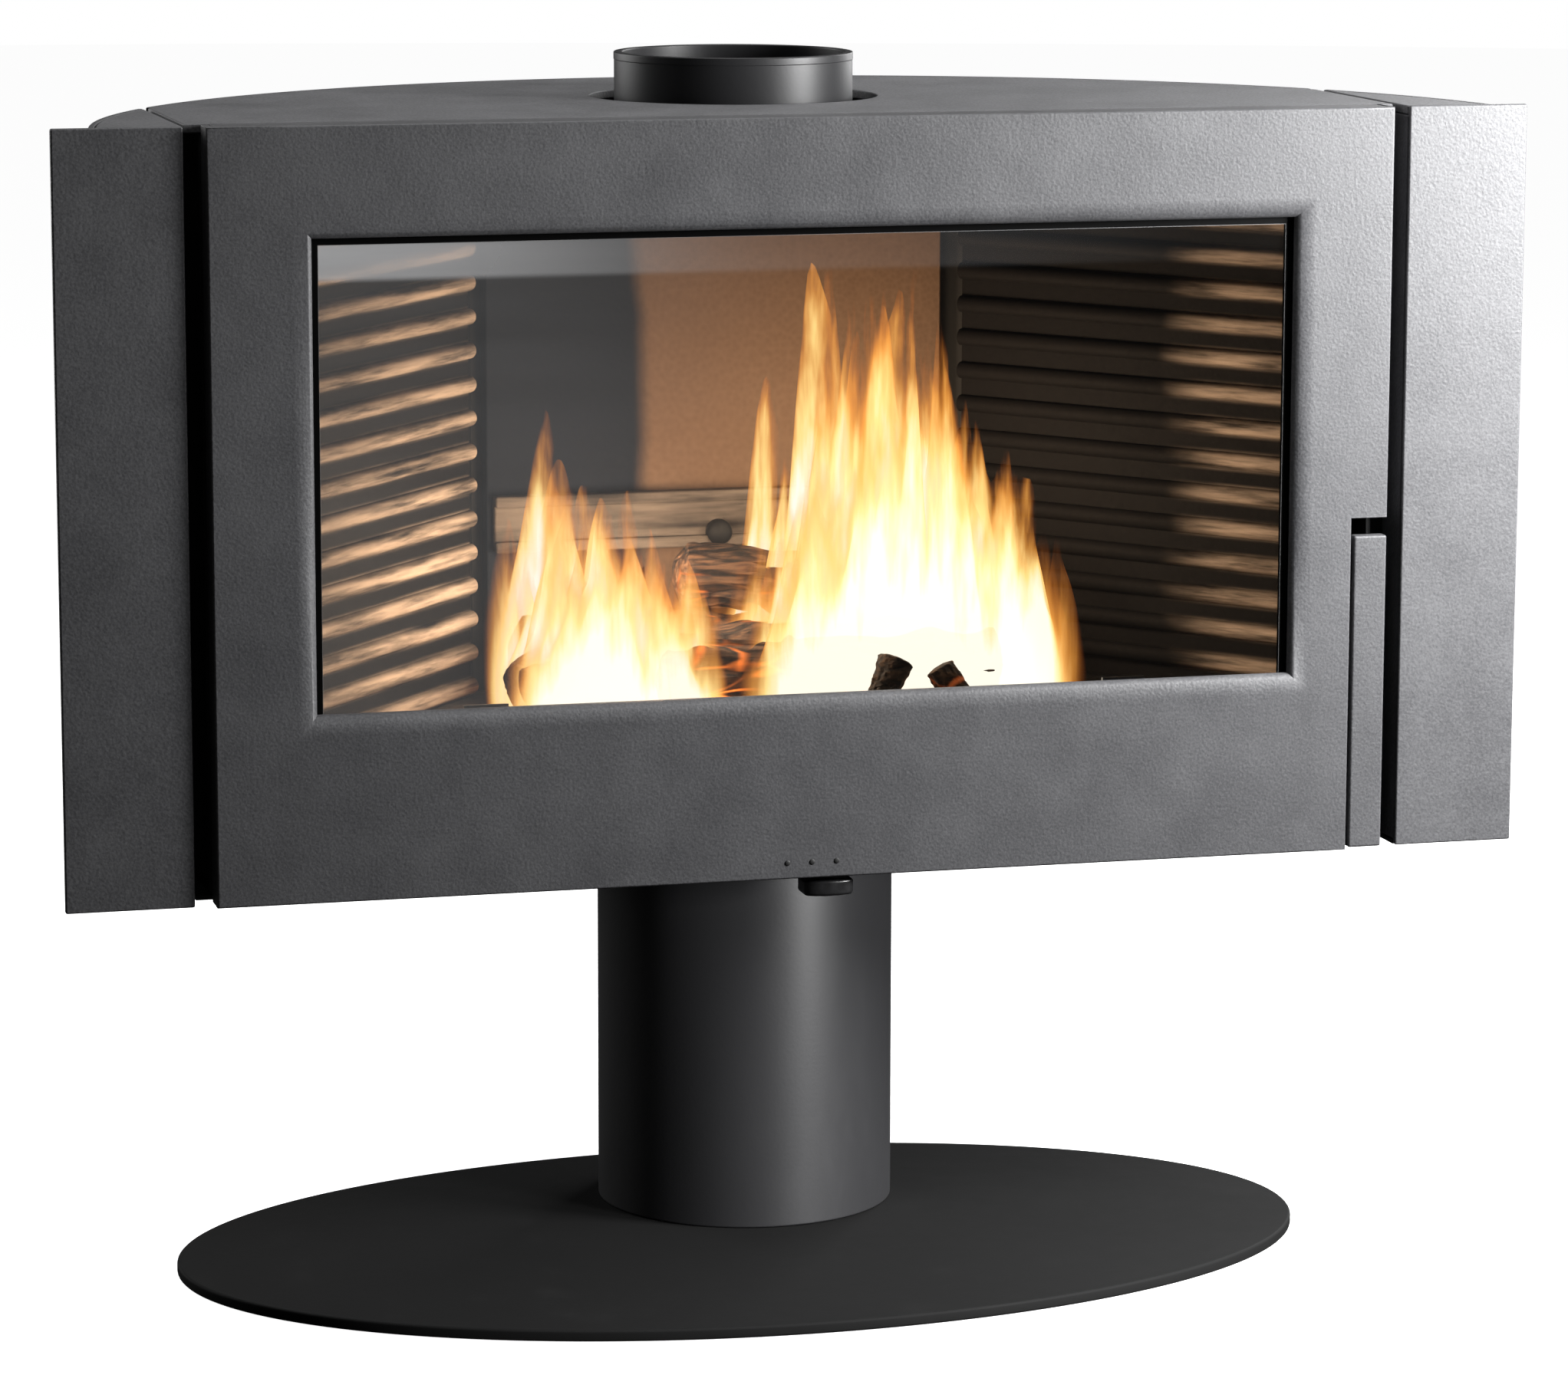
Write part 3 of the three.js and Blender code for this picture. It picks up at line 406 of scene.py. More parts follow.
@dataclass(frozen=True)
class RibbedCast(RawCast):
    """The ribbed liners: a painted highlight on each crest, broken by streaks, painted shade in the grooves,
    and a band of painted shade near the back corner.
    """

    # Painted highlight: this pale colour on the crests stands for the fire's light catching each rib.
    ash: Colour = (0.66, 0.53, 0.42)
    # Painted shade: this near-black colour darkens the grooves between the ribs.
    iron: Colour = (0.006, 0.0055, 0.0055)
    first_crest: float = 0.0
    pitch: float = 0.0236
    crest: float = 0.0022
    groove: float = 0.0085
    # Painted shade: between these two places across, the ribs are darkened as if in shadow.
    soot_from: float = 0.150
    soot_to: float = 0.285

    def worn(self, net: Net, where: Value) -> Value:
        """How much painted highlight shows: on each crest, broken by streaks, and none in the shaded grooves
        or in the band of painted shade.
        """
        across, _, up = net.axes(where)
        below = self.first_crest - self.pitch * 40
        folded = {0: up - below, 1: self.pitch / 2}
        from_crest = net.value("ShaderNodeMath", {"operation": "PINGPONG"}, folded)
        streaks = net.grain(net.stretched(where, (7.0, 7.0, 90.0)), 1.6, 5.0, 0.6)
        wander = (net.grain(where, 12.0, 3.0) - 0.5) * 0.03
        place = across + wander
        # A soft-edged band of painted shade, with no crest highlight in it.
        band = place.step(self.soot_from - 0.015, self.soot_from + 0.005)
        band = band * place.step(self.soot_to + 0.035, self.soot_to - 0.005)
        # Painted highlight on the crests, falling off into painted shade in the grooves.
        ash = from_crest.step(self.groove, self.crest) * streaks.step(0.25, 0.7)
        return ash * (1 - band)


@dataclass(frozen=True)
class FireBrick(Finish):
    """Pressed vermiculite board, browned by heat, with a tide of soot on its left."""

    warm: Colour = (0.115, 0.070, 0.043)
    pale: Colour = (0.185, 0.120, 0.078)
    soot: Colour = (0.012, 0.016, 0.024)
    soot_edge: float = -0.052

    def build(self, net: Net, where: Value, shader: bpy.types.Node) -> None:
        """Flecked board with a soft-edged sooty zone."""
        across, _, up = net.axes(where)
        flecks = net.value("ShaderNodeTexVoronoi", {}, {"Vector": where, "Scale": 260.0})
        cloud = net.grain(where, 9.0, 5.0)
        edge = across + (cloud - 0.5) * 0.012 + (up - 0.62).most(0.0) * 0.15
        sooty = edge.step(self.soot_edge + 0.008, self.soot_edge - 0.008)
        board = net.mix(flecks * 0.5 + cloud * 0.6, self.warm, self.pale)
        feed(
            net,
            shader,
            Base_Color=net.mix(sooty, board, self.soot),
            Roughness=cloud * 0.2 + 0.75,
            Normal=net.bump(flecks, 0.25, 0.0006),
            Specular_IOR_Level=0.1,
        )


@dataclass(frozen=True)
class BareSteel(Finish):
    """Plain steel with faint brushing and heat tint."""

    colour: Colour = (0.36, 0.35, 0.34)

    def build(self, net: Net, where: Value, shader: bpy.types.Node) -> None:
        """Brushed steel."""
        brush = net.grain(net.stretched(where, (40.0, 400.0, 400.0)), 1.0, 3.0)
        tint = net.grain(where, 30.0, 3.0)
        feed(
            net,
            shader,
            Base_Color=net.mix(tint, self.colour, (0.20, 0.19, 0.20)),
            Metallic=1.0,
            Roughness=brush * 0.25 + 0.25,
            Normal=net.bump(brush, 0.08, 0.0002),
        )


@dataclass(frozen=True)
class RopeYarn(Finish):
    """Braided glass-fibre rope, greyed by smoke."""

    colour: Colour = (0.10, 0.098, 0.09)

    def build(self, net: Net, where: Value, shader: bpy.types.Node) -> None:
        """Diagonal strands."""
        weave = {"Vector": where, "Scale": 160.0, "Distortion": 1.5}
        strands = net.value("ShaderNodeTexWave", {"bands_direction": "DIAGONAL"}, weave)
        feed(
            net,
            shader,
            Base_Color=net.mix(strands, tuple(c * 0.4 for c in self.colour), self.colour),
            Roughness=0.95,
            Normal=net.bump(strands, 0.7, 0.001),
        )


@dataclass(frozen=True)
class KnobPlastic(Finish):
    """Smooth black heat-proof plastic."""

    def build(self, net: Net, where: Value, shader: bpy.types.Node) -> None:
        """Near-black with fine handling marks."""
        marks = net.grain(where, 220.0, 4.0)
        feed(
            net,
            shader,
            Base_Color=net.mix(marks, (0.006, 0.006, 0.006), (0.016, 0.016, 0.017)),
            Roughness=marks * 0.2 + 0.22,
            Normal=net.bump(marks, 0.08, 0.0003),
        )


@dataclass(frozen=True)
class FireGlass(Finish):
    """Clear ceramic glass with a pale grey band along its top that fades out towards the right, a pale veil
    on its left, and a black band along its top and sides.
    """

    top: float = 0.705
    side: float = 0.334
    frit: float = 0.0045
    frit_blur: float = 0.0006
    band: float = 0.030
    band_blur: float = 0.005
    haze: Colour = (0.72, 0.72, 0.73)
    dust: Colour = (0.42, 0.425, 0.43)
    ink: Colour = (0.002, 0.002, 0.002)
    index: float = 1.45

    def surface(self, net: Net, where: Value) -> Value:
        """A see-through, reflecting sheet, greyed in places and black along its border."""
        across, _, up = net.axes(where)
        smear = net.grain(net.stretched(where, (1.2, 1.0, 14.0)), 3.0, 4.0)
        # Greyer towards the left: a band along the top and a veil below it.
        far = across.step(0.05, -0.36)
        fade = far * far * 0.46 + across.step(0.30, -0.20) * 0.045
        band_foot = self.top - self.band
        band = up.step(band_foot, band_foot + self.band_blur) * (fade + 0.002)
        veil = far * 0.10
        # A black band along the top and the sides.
        head, cheek = self.top - self.frit, self.side - self.frit
        frit = up.step(head - self.frit_blur, head)
        frit = frit.most(abs(across).step(cheek - self.frit_blur, cheek))
        shade = (band + veil).least(0.8).most(frit)
        clear = net.node("ShaderNodeBsdfTransparent", {}, {0: (0.96, 0.96, 0.95, 1.0)})
        grey_sheet = net.node("ShaderNodeBsdfPrincipled")
        sheet_colour = net.mix(frit, net.mix(smear, self.haze, self.dust), self.ink)
        feed(net, grey_sheet, Base_Color=sheet_colour, Roughness=0.3, Specular_IOR_Level=0.1)
        gloss = net.node("ShaderNodeBsdfGlossy", {}, {"Roughness": 0.06})
        fresnel = net.value("ShaderNodeFresnel", {}, {0: self.index})
        sheet = net.value("ShaderNodeMixShader", {}, {0: fresnel, 1: clear.outputs[0], 2: gloss.outputs[0]})
        return net.value("ShaderNodeMixShader", {}, {0: shade, 1: sheet, 2: grey_sheet.outputs[0]})


@dataclass(frozen=True)
class Bark(Finish):
    """Charred bark with ridges along the log and a glow in the deepest cracks."""

    char: Colour = (0.012, 0.009, 0.008)
    brown: Colour = (0.16, 0.085, 0.045)
    glow: Colour = (1.0, 0.22, 0.03)

    def build(self, net: Net, where: Value, shader: bpy.types.Node) -> None:
        """Long plates of bark, split across."""
        plates = net.value(
            "ShaderNodeTexVoronoi",
            {"feature": "DISTANCE_TO_EDGE"},
            {"Vector": net.stretched(where, (18.0, 60.0, 60.0)), "Scale": 1.0},
        )
        fibre = net.grain(net.stretched(where, (30.0, 300.0, 300.0)), 1.0, 5.0)
        crack = plates.step(0.09, 0.0)
        hot = crack * net.grain(where, 16.0).step(0.5, 0.68)
        feed(
            net,
            shader,
            Base_Color=net.mix(fibre.step(0.35, 0.7) * (1 - crack), self.char, self.brown),
            Roughness=fibre * 0.2 + 0.75,
            Normal=net.bump(plates.least(0.2) * 3 + fibre * 0.4, 0.8, 0.004),
            Emission_Color=net.mix(hot, (0.0, 0.0, 0.0), self.glow),
            Emission_Strength=3.0,
        )


@dataclass(frozen=True)
class Ember(Finish):
    """Burning coals, orange between grey crusts of ash."""

    stops: tuple[tuple[float, Colour], ...] = (
        (0.0, (0.0, 0.0, 0.0)),
        (0.45, (0.5, 0.05, 0.01)),
        (0.8, (1.0, 0.30, 0.04)),
        (1.0, (1.0, 0.6, 0.2)),
    )

    def build(self, net: Net, where: Value, shader: bpy.types.Node) -> None:
        """Crust and glow."""
        crust = net.grain(where, 55.0, 5.0, 0.65)
        feed(
            net,
            shader,
            Base_Color=net.mix(crust, (0.02, 0.016, 0.014), (0.22, 0.20, 0.18)),
            Roughness=0.9,
            Normal=net.bump(crust, 0.6, 0.003),
            Emission_Color=net.ramp(crust.step(0.62, 0.42), self.stops),
            Emission_Strength=2.2,
        )


@dataclass(frozen=True)
class Flame(Finish):
    """A sheet of fire: white-hot at its foot, orange at its tips, torn into rising streaks."""

    strength: float = 1.5
    cool: Colour = (0.85, 0.16, 0.02)
    orange: Colour = (1.0, 0.40, 0.07)
    yellow: Colour = (1.0, 0.72, 0.26)
    white: Colour = (1.0, 0.95, 0.80)

    def build(self, net: Net, where: Value, shader: bpy.types.Node) -> None:
        """Heat from the sheet's own map, across and up it, broken by rising noise."""
        mapped = net.value("ShaderNodeUVMap", {"uv_map": "tongue"})
        across, up, _ = net.axes(mapped)
        ends = (across.least(1 - across) * 7).least(1.0)
        licks = net.grain(net.stretched(where, (34.0, 34.0, 7.0)), 1.0, 3.0, 0.55)
        fine = net.grain(net.stretched(where, (120.0, 120.0, 13.0)), 1.0, 3.0, 0.6)
        heat = ((1 - up) * 1.45 + (licks - 0.5) * 1.5 + (fine - 0.5) * 0.5 - 0.02) * ends
        stops = [(0.0, self.cool), (0.28, self.orange), (0.52, self.yellow), (0.85, self.white)]
        feed(
            net,
            shader,
            Base_Color=(0.0, 0.0, 0.0, 1.0),
            Alpha=heat.step(0.02, 0.6) * 0.85,
            Emission_Color=net.ramp(heat, stops),
            Emission_Strength=self.strength,
            Roughness=1.0,
            Specular_IOR_Level=0.0,
        )


@dataclass(frozen=True)
class PaleFloor(Finish):
    """Plain floor that glows almost white by itself."""

    def build(self, net: Net, where: Value, shader: bpy.types.Node) -> None:
        """Even off-white."""
        feed(net, shader, Base_Color=(0.93, 0.93, 0.93, 1.0), Roughness=0.9)
        feed(net, shader, Emission_Color=(1.0, 1.0, 1.0, 1.0), Emission_Strength=0.94)


CAST = CastPaint("anthracite_cast_paint")
CAST_TOP = CastPaint(
    "anthracite_top_paint", dark=(0.050, 0.050, 0.053), light=(0.13, 0.13, 0.136), roughness=0.62
)
SATIN = SmoothPaint("satin_black_paint", colour=(0.016, 0.016, 0.017), roughness=0.42, scuff=0.12, gloss=0.28)
BASE = SmoothPaint("matte_base_paint", colour=(0.007, 0.007, 0.007), roughness=0.7, scuff=0.12, gloss=0.06)
BLACK = SmoothPaint("black_steel_paint", colour=(0.010, 0.010, 0.010), roughness=0.6, scuff=0.15)
LINER = RawCast("raw_cast_liner")
BRICK = FireBrick("vermiculite_board")
STEEL = BareSteel("plain_steel")
YARN = RopeYarn("seal_rope_yarn")
KNOB = KnobPlastic("knob_plastic")
GLASS = FireGlass("ceramic_glass")
BARK = Bark("charred_bark")
CHARCOAL = Bark("charcoal", brown=(0.07, 0.040, 0.022), glow=(0.10, 0.02, 0.004))
EMBER = Ember("glowing_embers")
FLAME = Flame("flame")
FLOOR = PaleFloor("pale_floor")

INSIDE_NODES = (
    "firebox_back",
    "firebox_side_left",
    "firebox_side_right",
    "firebox_roof",
    "hearth",
    "grate",
    "smoke_baffle",
)
INSIDE_PIECES = (
    "liner_ribs_left",
    "liner_ribs_right",
    "back_board",
    "air_bar_cast",
    "bar_bolt",
    "coal_bed",
    "log_front",
    "log_back",
    "log_over",
    "log_left",
    "log_char_middle",
    "log_char_right",
)

STAND_PIECES = ("pedestal", "floor_plate")

SLOT_FINISH = {
    Slot.CAST_PAINT: CAST,
    Slot.TOP_PAINT: CAST_TOP,
    Slot.SATIN_BLACK: SATIN,
    Slot.BASE_BLACK: BASE,
    Slot.BLACK_STEEL: BLACK,
    Slot.CAST_LINER: LINER,
    Slot.FIRE_BRICK: BRICK,
    Slot.BARE_STEEL: STEEL,
    Slot.KNOB_BLACK: KNOB,
    Slot.SEAL_ROPE: YARN,
    Slot.FIRE_GLASS: GLASS,
}


# ---------------------------------------------------------------- mesh making


def linked(name: str, mesh: bpy.types.Mesh) -> bpy.types.Object:
    """An object for a mesh, put in the scene."""
    made = bpy.data.objects.new(name, mesh)
    bpy.context.scene.collection.objects.link(made)
    return made


def from_bmesh(name: str, bm: bmesh.types.BMesh) -> bpy.types.Object:
    """Turn finished bmesh work into an object.

    Args:
        name: the object's name.
        bm: the mesh work, which is freed.

    Returns:
        The object, at the origin.
    """
    mesh = bpy.data.meshes.new(name)
    bm.to_mesh(mesh)
    bm.free()
    return linked(name, mesh)


def smoothed(piece: bpy.types.Object, angle: float = SMOOTH_ANGLE) -> bpy.types.Object:
    """Shade smoothly over gentle edges, with flat faces kept flat.

    Args:
        piece: the mesh object.
        angle: edges sharper than this stay crisp.

    Returns:
        The same object.
    """
    for polygon in piece.data.polygons:
        polygon.use_smooth = True
    piece.data.set_sharp_from_angle(angle=angle)
    weighted = piece.modifiers.new("face_weighted", "WEIGHTED_NORMAL")
    weighted.keep_sharp = True
    return piece


def dressed(
    piece: bpy.types.Object,
    finish: Finish,
    body: Body = Body.ROOT,
    stands_for: Iterable[str] = (),
) -> bpy.types.Object:
    """Give a piece its finish, its body and the nodes that it stands for.

    Args:
        piece: the mesh object, in place.
        finish: the finish to wear.
        body: the body to ride on.
        stands_for: nodes of the design that the piece shows.

    Returns:
        The same object.
    """
    piece.data.materials.clear()
    piece.data.materials.append(finish.material())
    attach(piece, body.value)
    nodes = list(stands_for)
    if nodes:
        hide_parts(*nodes)
    LOG.info("%s rides on %s, %d faces", piece.name, body.value, len(piece.data.polygons))
    return piece


def arc(middle: Point, radius: float, start: float, end: float, steps: int) -> list[Point]:
    """Points along a round stretch of outline.

    Args:
        middle: the arc's centre.
        radius: its radius.
        start: the angle that it starts at, in radians.
        end: the angle that it ends at.
        steps: how many straight steps it takes.

    Returns:
        The points, both ends with them.
    """
    angles = [start + (end - start) * i / steps for i in range(steps + 1)]
    return [(middle[0] + radius * math.cos(a), middle[1] + radius * math.sin(a)) for a in angles]


def slab(
    name: str, outlines: Sequence[Sequence[Point]], z0: float, z1: float, edge: float
) -> bpy.types.Object:
    """A flat plate with rounded edges and any holes.

    Args:
        name: the piece's name.
        outlines: closed outlines in plan, the outer one first and then the holes.
        z0: underside.
        z1: upper side.
        edge: how far the edges are rounded.

    Returns:
        The plate, in place.
    """
    curve = bpy.data.curves.new(name + "_outline", "CURVE")
    curve.dimensions = "2D"
    curve.fill_mode = "BOTH"
    for outline in outlines:
        spline = curve.splines.new("POLY")
        spline.points.add(len(outline) - 1)
        for point, (x, y) in zip(spline.points, outline):
            point.co = (x, y, 0.0, 1.0)
        spline.use_cyclic_u = True
    curve.extrude = (z1 - z0) / 2 - edge
    curve.bevel_depth = edge
    curve.bevel_resolution = 2
    curve.offset = -edge
    holder = bpy.data.objects.new(name + "_outline", curve)
    bpy.context.scene.collection.objects.link(holder)
    bpy.context.view_layer.update()
    mesh = bpy.data.meshes.new_from_object(holder.evaluated_get(bpy.context.evaluated_depsgraph_get()))
    bpy.data.objects.remove(holder)
    mesh.transform(Matrix.Translation((0.0, 0.0, (z0 + z1) / 2)))
    mesh.name = name
    bm = bmesh.new()
    bm.from_mesh(mesh)
    bmesh.ops.remove_doubles(bm, verts=bm.verts, dist=1e-6)
    bmesh.ops.recalc_face_normals(bm, faces=bm.faces)
    bm.to_mesh(mesh)
    bm.free()
    return linked(name, mesh)


def add_block(bm: bmesh.types.BMesh, low: Vector, high: Vector, edge: float = 0.0, segments: int = 3) -> None:
    """Add a block with rounded edges to mesh work.

    Args:
        bm: the mesh work.
        low: its lowest corner.
        high: its highest corner.
        edge: the edges' radius.
        segments: steps round each edge.
    """
    size = high - low
    place = Matrix.Translation((low + high) / 2) @ Matrix.Diagonal((*size, 1.0))
    made = bmesh.ops.create_cube(bm, size=1.0, matrix=place)
    if edge > 0:
        edges = {e for v in made["verts"] for e in v.link_edges}
        bmesh.ops.bevel(bm, geom=list(edges), offset=edge, segments=segments, profile=0.5, affect="EDGES")


def blocks(name: str, boxes: Sequence[tuple[Vector, Vector]], edge: float) -> bpy.types.Object:
    """One piece made of blocks with rounded edges."""
    bm = bmesh.new()
    for low, high in boxes:
        add_block(bm, low, high, edge)
    return from_bmesh(name, bm)


def turned(name: str, profile: Sequence[Point], axis: Point, steps: int = 128) -> bpy.types.Object:
    """A piece turned about an upright axis.

    Args:
        name: the piece's name.
        profile: (radius, height) points of the closed section.
        axis: where the axis stands in plan.
        steps: steps round the turn.

    Returns:
        The piece, in place, facing out.
    """
    bm = bmesh.new()
    rings = []
    for i in range(steps):
        angle = 2 * math.pi * i / steps
        spot = [(axis[0] + r * math.cos(angle), axis[1] + r * math.sin(angle), z) for r, z in profile]
        rings.append([bm.verts.new(co) for co in spot])
    for ring, following in zip(rings, rings[1:] + rings[:1]):
        for j in range(len(profile)):
            k = (j + 1) % len(profile)
            bm.faces.new((ring[j], following[j], following[k], ring[k]))
    bmesh.ops.recalc_face_normals(bm, faces=bm.faces)
    return from_bmesh(name, bm)


def rounded_section(corners: Sequence[Point], radius: float, steps: int = 4) -> list[Point]:
    """Round every corner of a closed section.

    Args:
        corners: the section's corners in order.
        radius: the rounding.
        steps: steps round each corner.

    Returns:
        The rounded section's points.
    """
    points: list[Point] = []
    count = len(corners)
    for i, corner in enumerate(corners):
        here = Vector(corner)
        before = Vector(corners[i - 1]) - here
        after = Vector(corners[(i + 1) % count]) - here
        reach = min(radius, before.length / 2.2, after.length / 2.2)
        start = here + before.normalized() * reach
        end = here + after.normalized() * reach
        for k in range(steps + 1):
            t = k / steps
            bend = start * (1 - t) ** 2 + here * (2 * t * (1 - t)) + end * t**2
            points.append((bend.x, bend.y))
    return points


def grown(name: str, tree: bpy.types.NodeTree, inputs: dict[str, Any]) -> bpy.types.Object:
    """Run a geometry tree on an empty mesh and keep the plain result.

    Args:
        name: the piece's name.
        tree: the geometry tree.
        inputs: its named inputs.

    Returns:
        A plain mesh object, with no modifier.
    """
    holder = linked(name + "_seed", bpy.data.meshes.new(name + "_seed"))
    modifier = holder.modifiers.new("tree", "NODES")
    modifier.node_group = tree
    for item in tree.interface.items_tree:
        if item.item_type == "SOCKET" and item.in_out == "INPUT" and item.name in inputs:
            modifier[item.identifier] = inputs[item.name]
    bpy.context.view_layer.update()
    mesh = bpy.data.meshes.new_from_object(holder.evaluated_get(bpy.context.evaluated_depsgraph_get()))
    bpy.data.objects.remove(holder)
    mesh.name = name
    return linked(name, mesh)


def geometry_tree(name: str, **inputs: str) -> tuple[Net, dict[str, Value]]:
    """Start a geometry tree.

    Args:
        name: the tree's name.
        inputs: input names and their kinds, such as Float or Vector.

    Returns:
        The tree's net and its inputs by name.
    """
    tree = bpy.data.node_groups.new(name, "GeometryNodeTree")
    for label, kind in inputs.items():
        tree.interface.new_socket(label, in_out="INPUT", socket_type="NodeSocket" + kind)
    tree.interface.new_socket("Geometry", in_out="OUTPUT", socket_type="NodeSocketGeometry")
    net = Net(tree)
    given = net.node("NodeGroupInput")
    return net, {label: Value(net, given.outputs[label]) for label in inputs}


def close_tree(net: Net, geometry: Value, material: Value) -> bpy.types.NodeTree:
    """End a geometry tree in Realize Instances and Set Material.

    Args:
        net: the tree's net.
        geometry: what it has made.
        material: the material's input.

    Returns:
        The finished tree.
    """
    real = net.value("GeometryNodeRealizeInstances", {}, {0: geometry})
    painted = net.value("GeometryNodeSetMaterial", {}, {"Geometry": real, "Material": material})
    net.node("NodeGroupOutput", {}, {0: painted})
    return net.tree


def rib_bank_tree() -> bpy.types.NodeTree:
    """Round ribs of one length, one over the other."""
    net, given = geometry_tree(
        "rib_bank",
        Count="Int",
        Start="Vector",
        Pitch="Vector",
        Reach="Vector",
        Radius="Float",
        Material="Material",
    )
    line = {"Count": given["Count"], "Start Location": given["Start"], "Offset": given["Pitch"]}
    rows = net.value("GeometryNodeMeshLine", {"mode": "OFFSET"}, line)
    spine = net.value("GeometryNodeCurvePrimitiveLine", {}, {"End": given["Reach"]})
    ring = {"Resolution": 20, "Radius": given["Radius"]}
    section = net.value("GeometryNodeCurvePrimitiveCircle", {}, ring)
    swept = {"Curve": spine, "Profile Curve": section, "Fill Caps": True}
    rib = net.value("GeometryNodeCurveToMesh", {}, swept)
    bank = net.value("GeometryNodeInstanceOnPoints", {}, {"Points": rows, "Instance": rib})
    return close_tree(net, bank, given["Material"])


def rope_ring_tree() -> bpy.types.NodeTree:
    """A twisted rope that follows an upright rectangle with rounded corners."""
    net, given = geometry_tree(
        "rope_ring",
        Width="Float",
        Height="Float",
        Corner="Float",
        Radius="Float",
        Twist="Float",
        Material="Material",
    )
    sides = {"Width": given["Width"], "Height": given["Height"]}
    path = net.value("GeometryNodeCurvePrimitiveQuadrilateral", {}, sides)
    rounding = {"Curve": path, "Radius": given["Corner"], "Count": 6}
    corners = net.value("GeometryNodeFilletCurve", {"mode": "POLY"}, rounding)
    even = net.value("GeometryNodeResampleCurve", {}, {"Curve": corners, "Count": 700})
    turn = net.value("GeometryNodeSplineParameter", out="Length") * given["Twist"]
    tilted = net.value("GeometryNodeSetCurveTilt", {}, {"Curve": even, "Tilt": turn})
    ring = {"Resolution": 5, "Radius": given["Radius"]}
    strands = net.value("GeometryNodeCurvePrimitiveCircle", {}, ring)
    rope = net.value("GeometryNodeCurveToMesh", {}, {"Curve": tilted, "Profile Curve": strands})
    return close_tree(net, rope, given["Material"])


def coal_field_tree() -> bpy.types.NodeTree:
    """Coals of mixed size strewn over a patch."""
    net, given = geometry_tree(
        "coal_field",
        Width="Float",
        Depth="Float",
        Amount="Float",
        Size="Float",
        Seed="Int",
        Material="Material",
    )
    seed = given["Seed"]
    patch = net.value("GeometryNodeMeshGrid", {}, {"Size X": given["Width"], "Size Y": given["Depth"]})
    strewing = {"Mesh": patch, "Density": given["Amount"], "Seed": seed}
    spots = net.value("GeometryNodeDistributePointsOnFaces", {}, strewing)
    coal = net.value("GeometryNodeMeshIcoSphere", {}, {"Radius": given["Size"], "Subdivisions": 2})
    chance = "FunctionNodeRandomValue"
    sizes = net.value(chance, {"data_type": "FLOAT"}, {2: 0.5, 3: 1.5, "Seed": seed}, out=1)
    span = {0: (0.0, 0.0, 0.0), 1: (6.3, 6.3, 6.3), "Seed": seed}
    turns = net.value(chance, {"data_type": "FLOAT_VECTOR"}, span)
    placing = {"Points": spots, "Instance": coal, "Rotation": turns, "Scale": sizes}
    strewn = net.value("GeometryNodeInstanceOnPoints", {}, placing)
    real = net.value("GeometryNodeRealizeInstances", {}, {0: strewn})
    place = net.value("GeometryNodeInputPosition")
    rough = net.value(
        "ShaderNodeTexNoise", {"noise_dimensions": "3D"}, {"Vector": place, "Scale": 70.0}, out=1
    )
    push = net.value("ShaderNodeVectorMath", {"operation": "SUBTRACT"}, {0: rough, 1: (0.5, 0.5, 0.5)})
    pushed = net.value("ShaderNodeVectorMath", {"operation": "SCALE"}, {0: push, "Scale": 0.02})
    lumpy = net.value("GeometryNodeSetPosition", {}, {"Geometry": real, "Offset": pushed})
    return close_tree(net, lumpy, given["Material"])


def mark_row_tree() -> bpy.types.NodeTree:
    """A row of small round studs."""
    net, given = geometry_tree(
        "mark_row", Count="Int", Start="Vector", Pitch="Vector", Radius="Float", Material="Material"
    )
    line = {"Count": given["Count"], "Start Location": given["Start"], "Offset": given["Pitch"]}
    row = net.value("GeometryNodeMeshLine", {"mode": "OFFSET"}, line)
    ball = {"Segments": 16, "Rings": 10, "Radius": given["Radius"]}
    stud = net.value("GeometryNodeMeshUVSphere", {}, ball)
    flat = net.value("GeometryNodeTransform", {}, {"Geometry": stud, "Scale": (1.0, 0.35, 1.0)})
    placed = net.value("GeometryNodeInstanceOnPoints", {}, {"Points": row, "Instance": flat})
    return close_tree(net, placed, given["Material"])


# ---------------------------------------------------------------- sub-assemblies


@dataclass
class Stand:
    """Oval floor plate and pedestal."""

    plate_edge: float = 2.0 * MM
    tube_edge: float = 1.2 * MM
    tube_wall: float = 3.0 * MM
    outline_steps: int = 160

    def make(self) -> None:
        """Build and dress the stand."""
        low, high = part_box("base_plate")
        middle = (low + high) / 2
        half = (high - low) / 2
        outline = [
            (middle.x + half.x * math.cos(a), middle.y + half.y * math.sin(a))
            for a in (2 * math.pi * i / self.outline_steps for i in range(self.outline_steps))
        ]
        plate = slab("floor_plate", [outline], low.z, high.z, self.plate_edge)
        dressed(smoothed(plate), BASE, stands_for=["base_plate"])
        self._tube()

    def _tube(self) -> None:
        """The pedestal's tube, its rims rounded."""
        low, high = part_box("pedestal_tube")
        axis = ((low.x + high.x) / 2, (low.y + high.y) / 2)
        outer = (high.x - low.x) / 2
        inner = outer - self.tube_wall
        section = rounded_section(
            [(inner, low.z), (outer, low.z), (outer, high.z), (inner, high.z)], self.tube_edge
        )
        tube = turned("pedestal", section, axis)
        dressed(smoothed(tube), SATIN, stands_for=["pedestal_tube"])


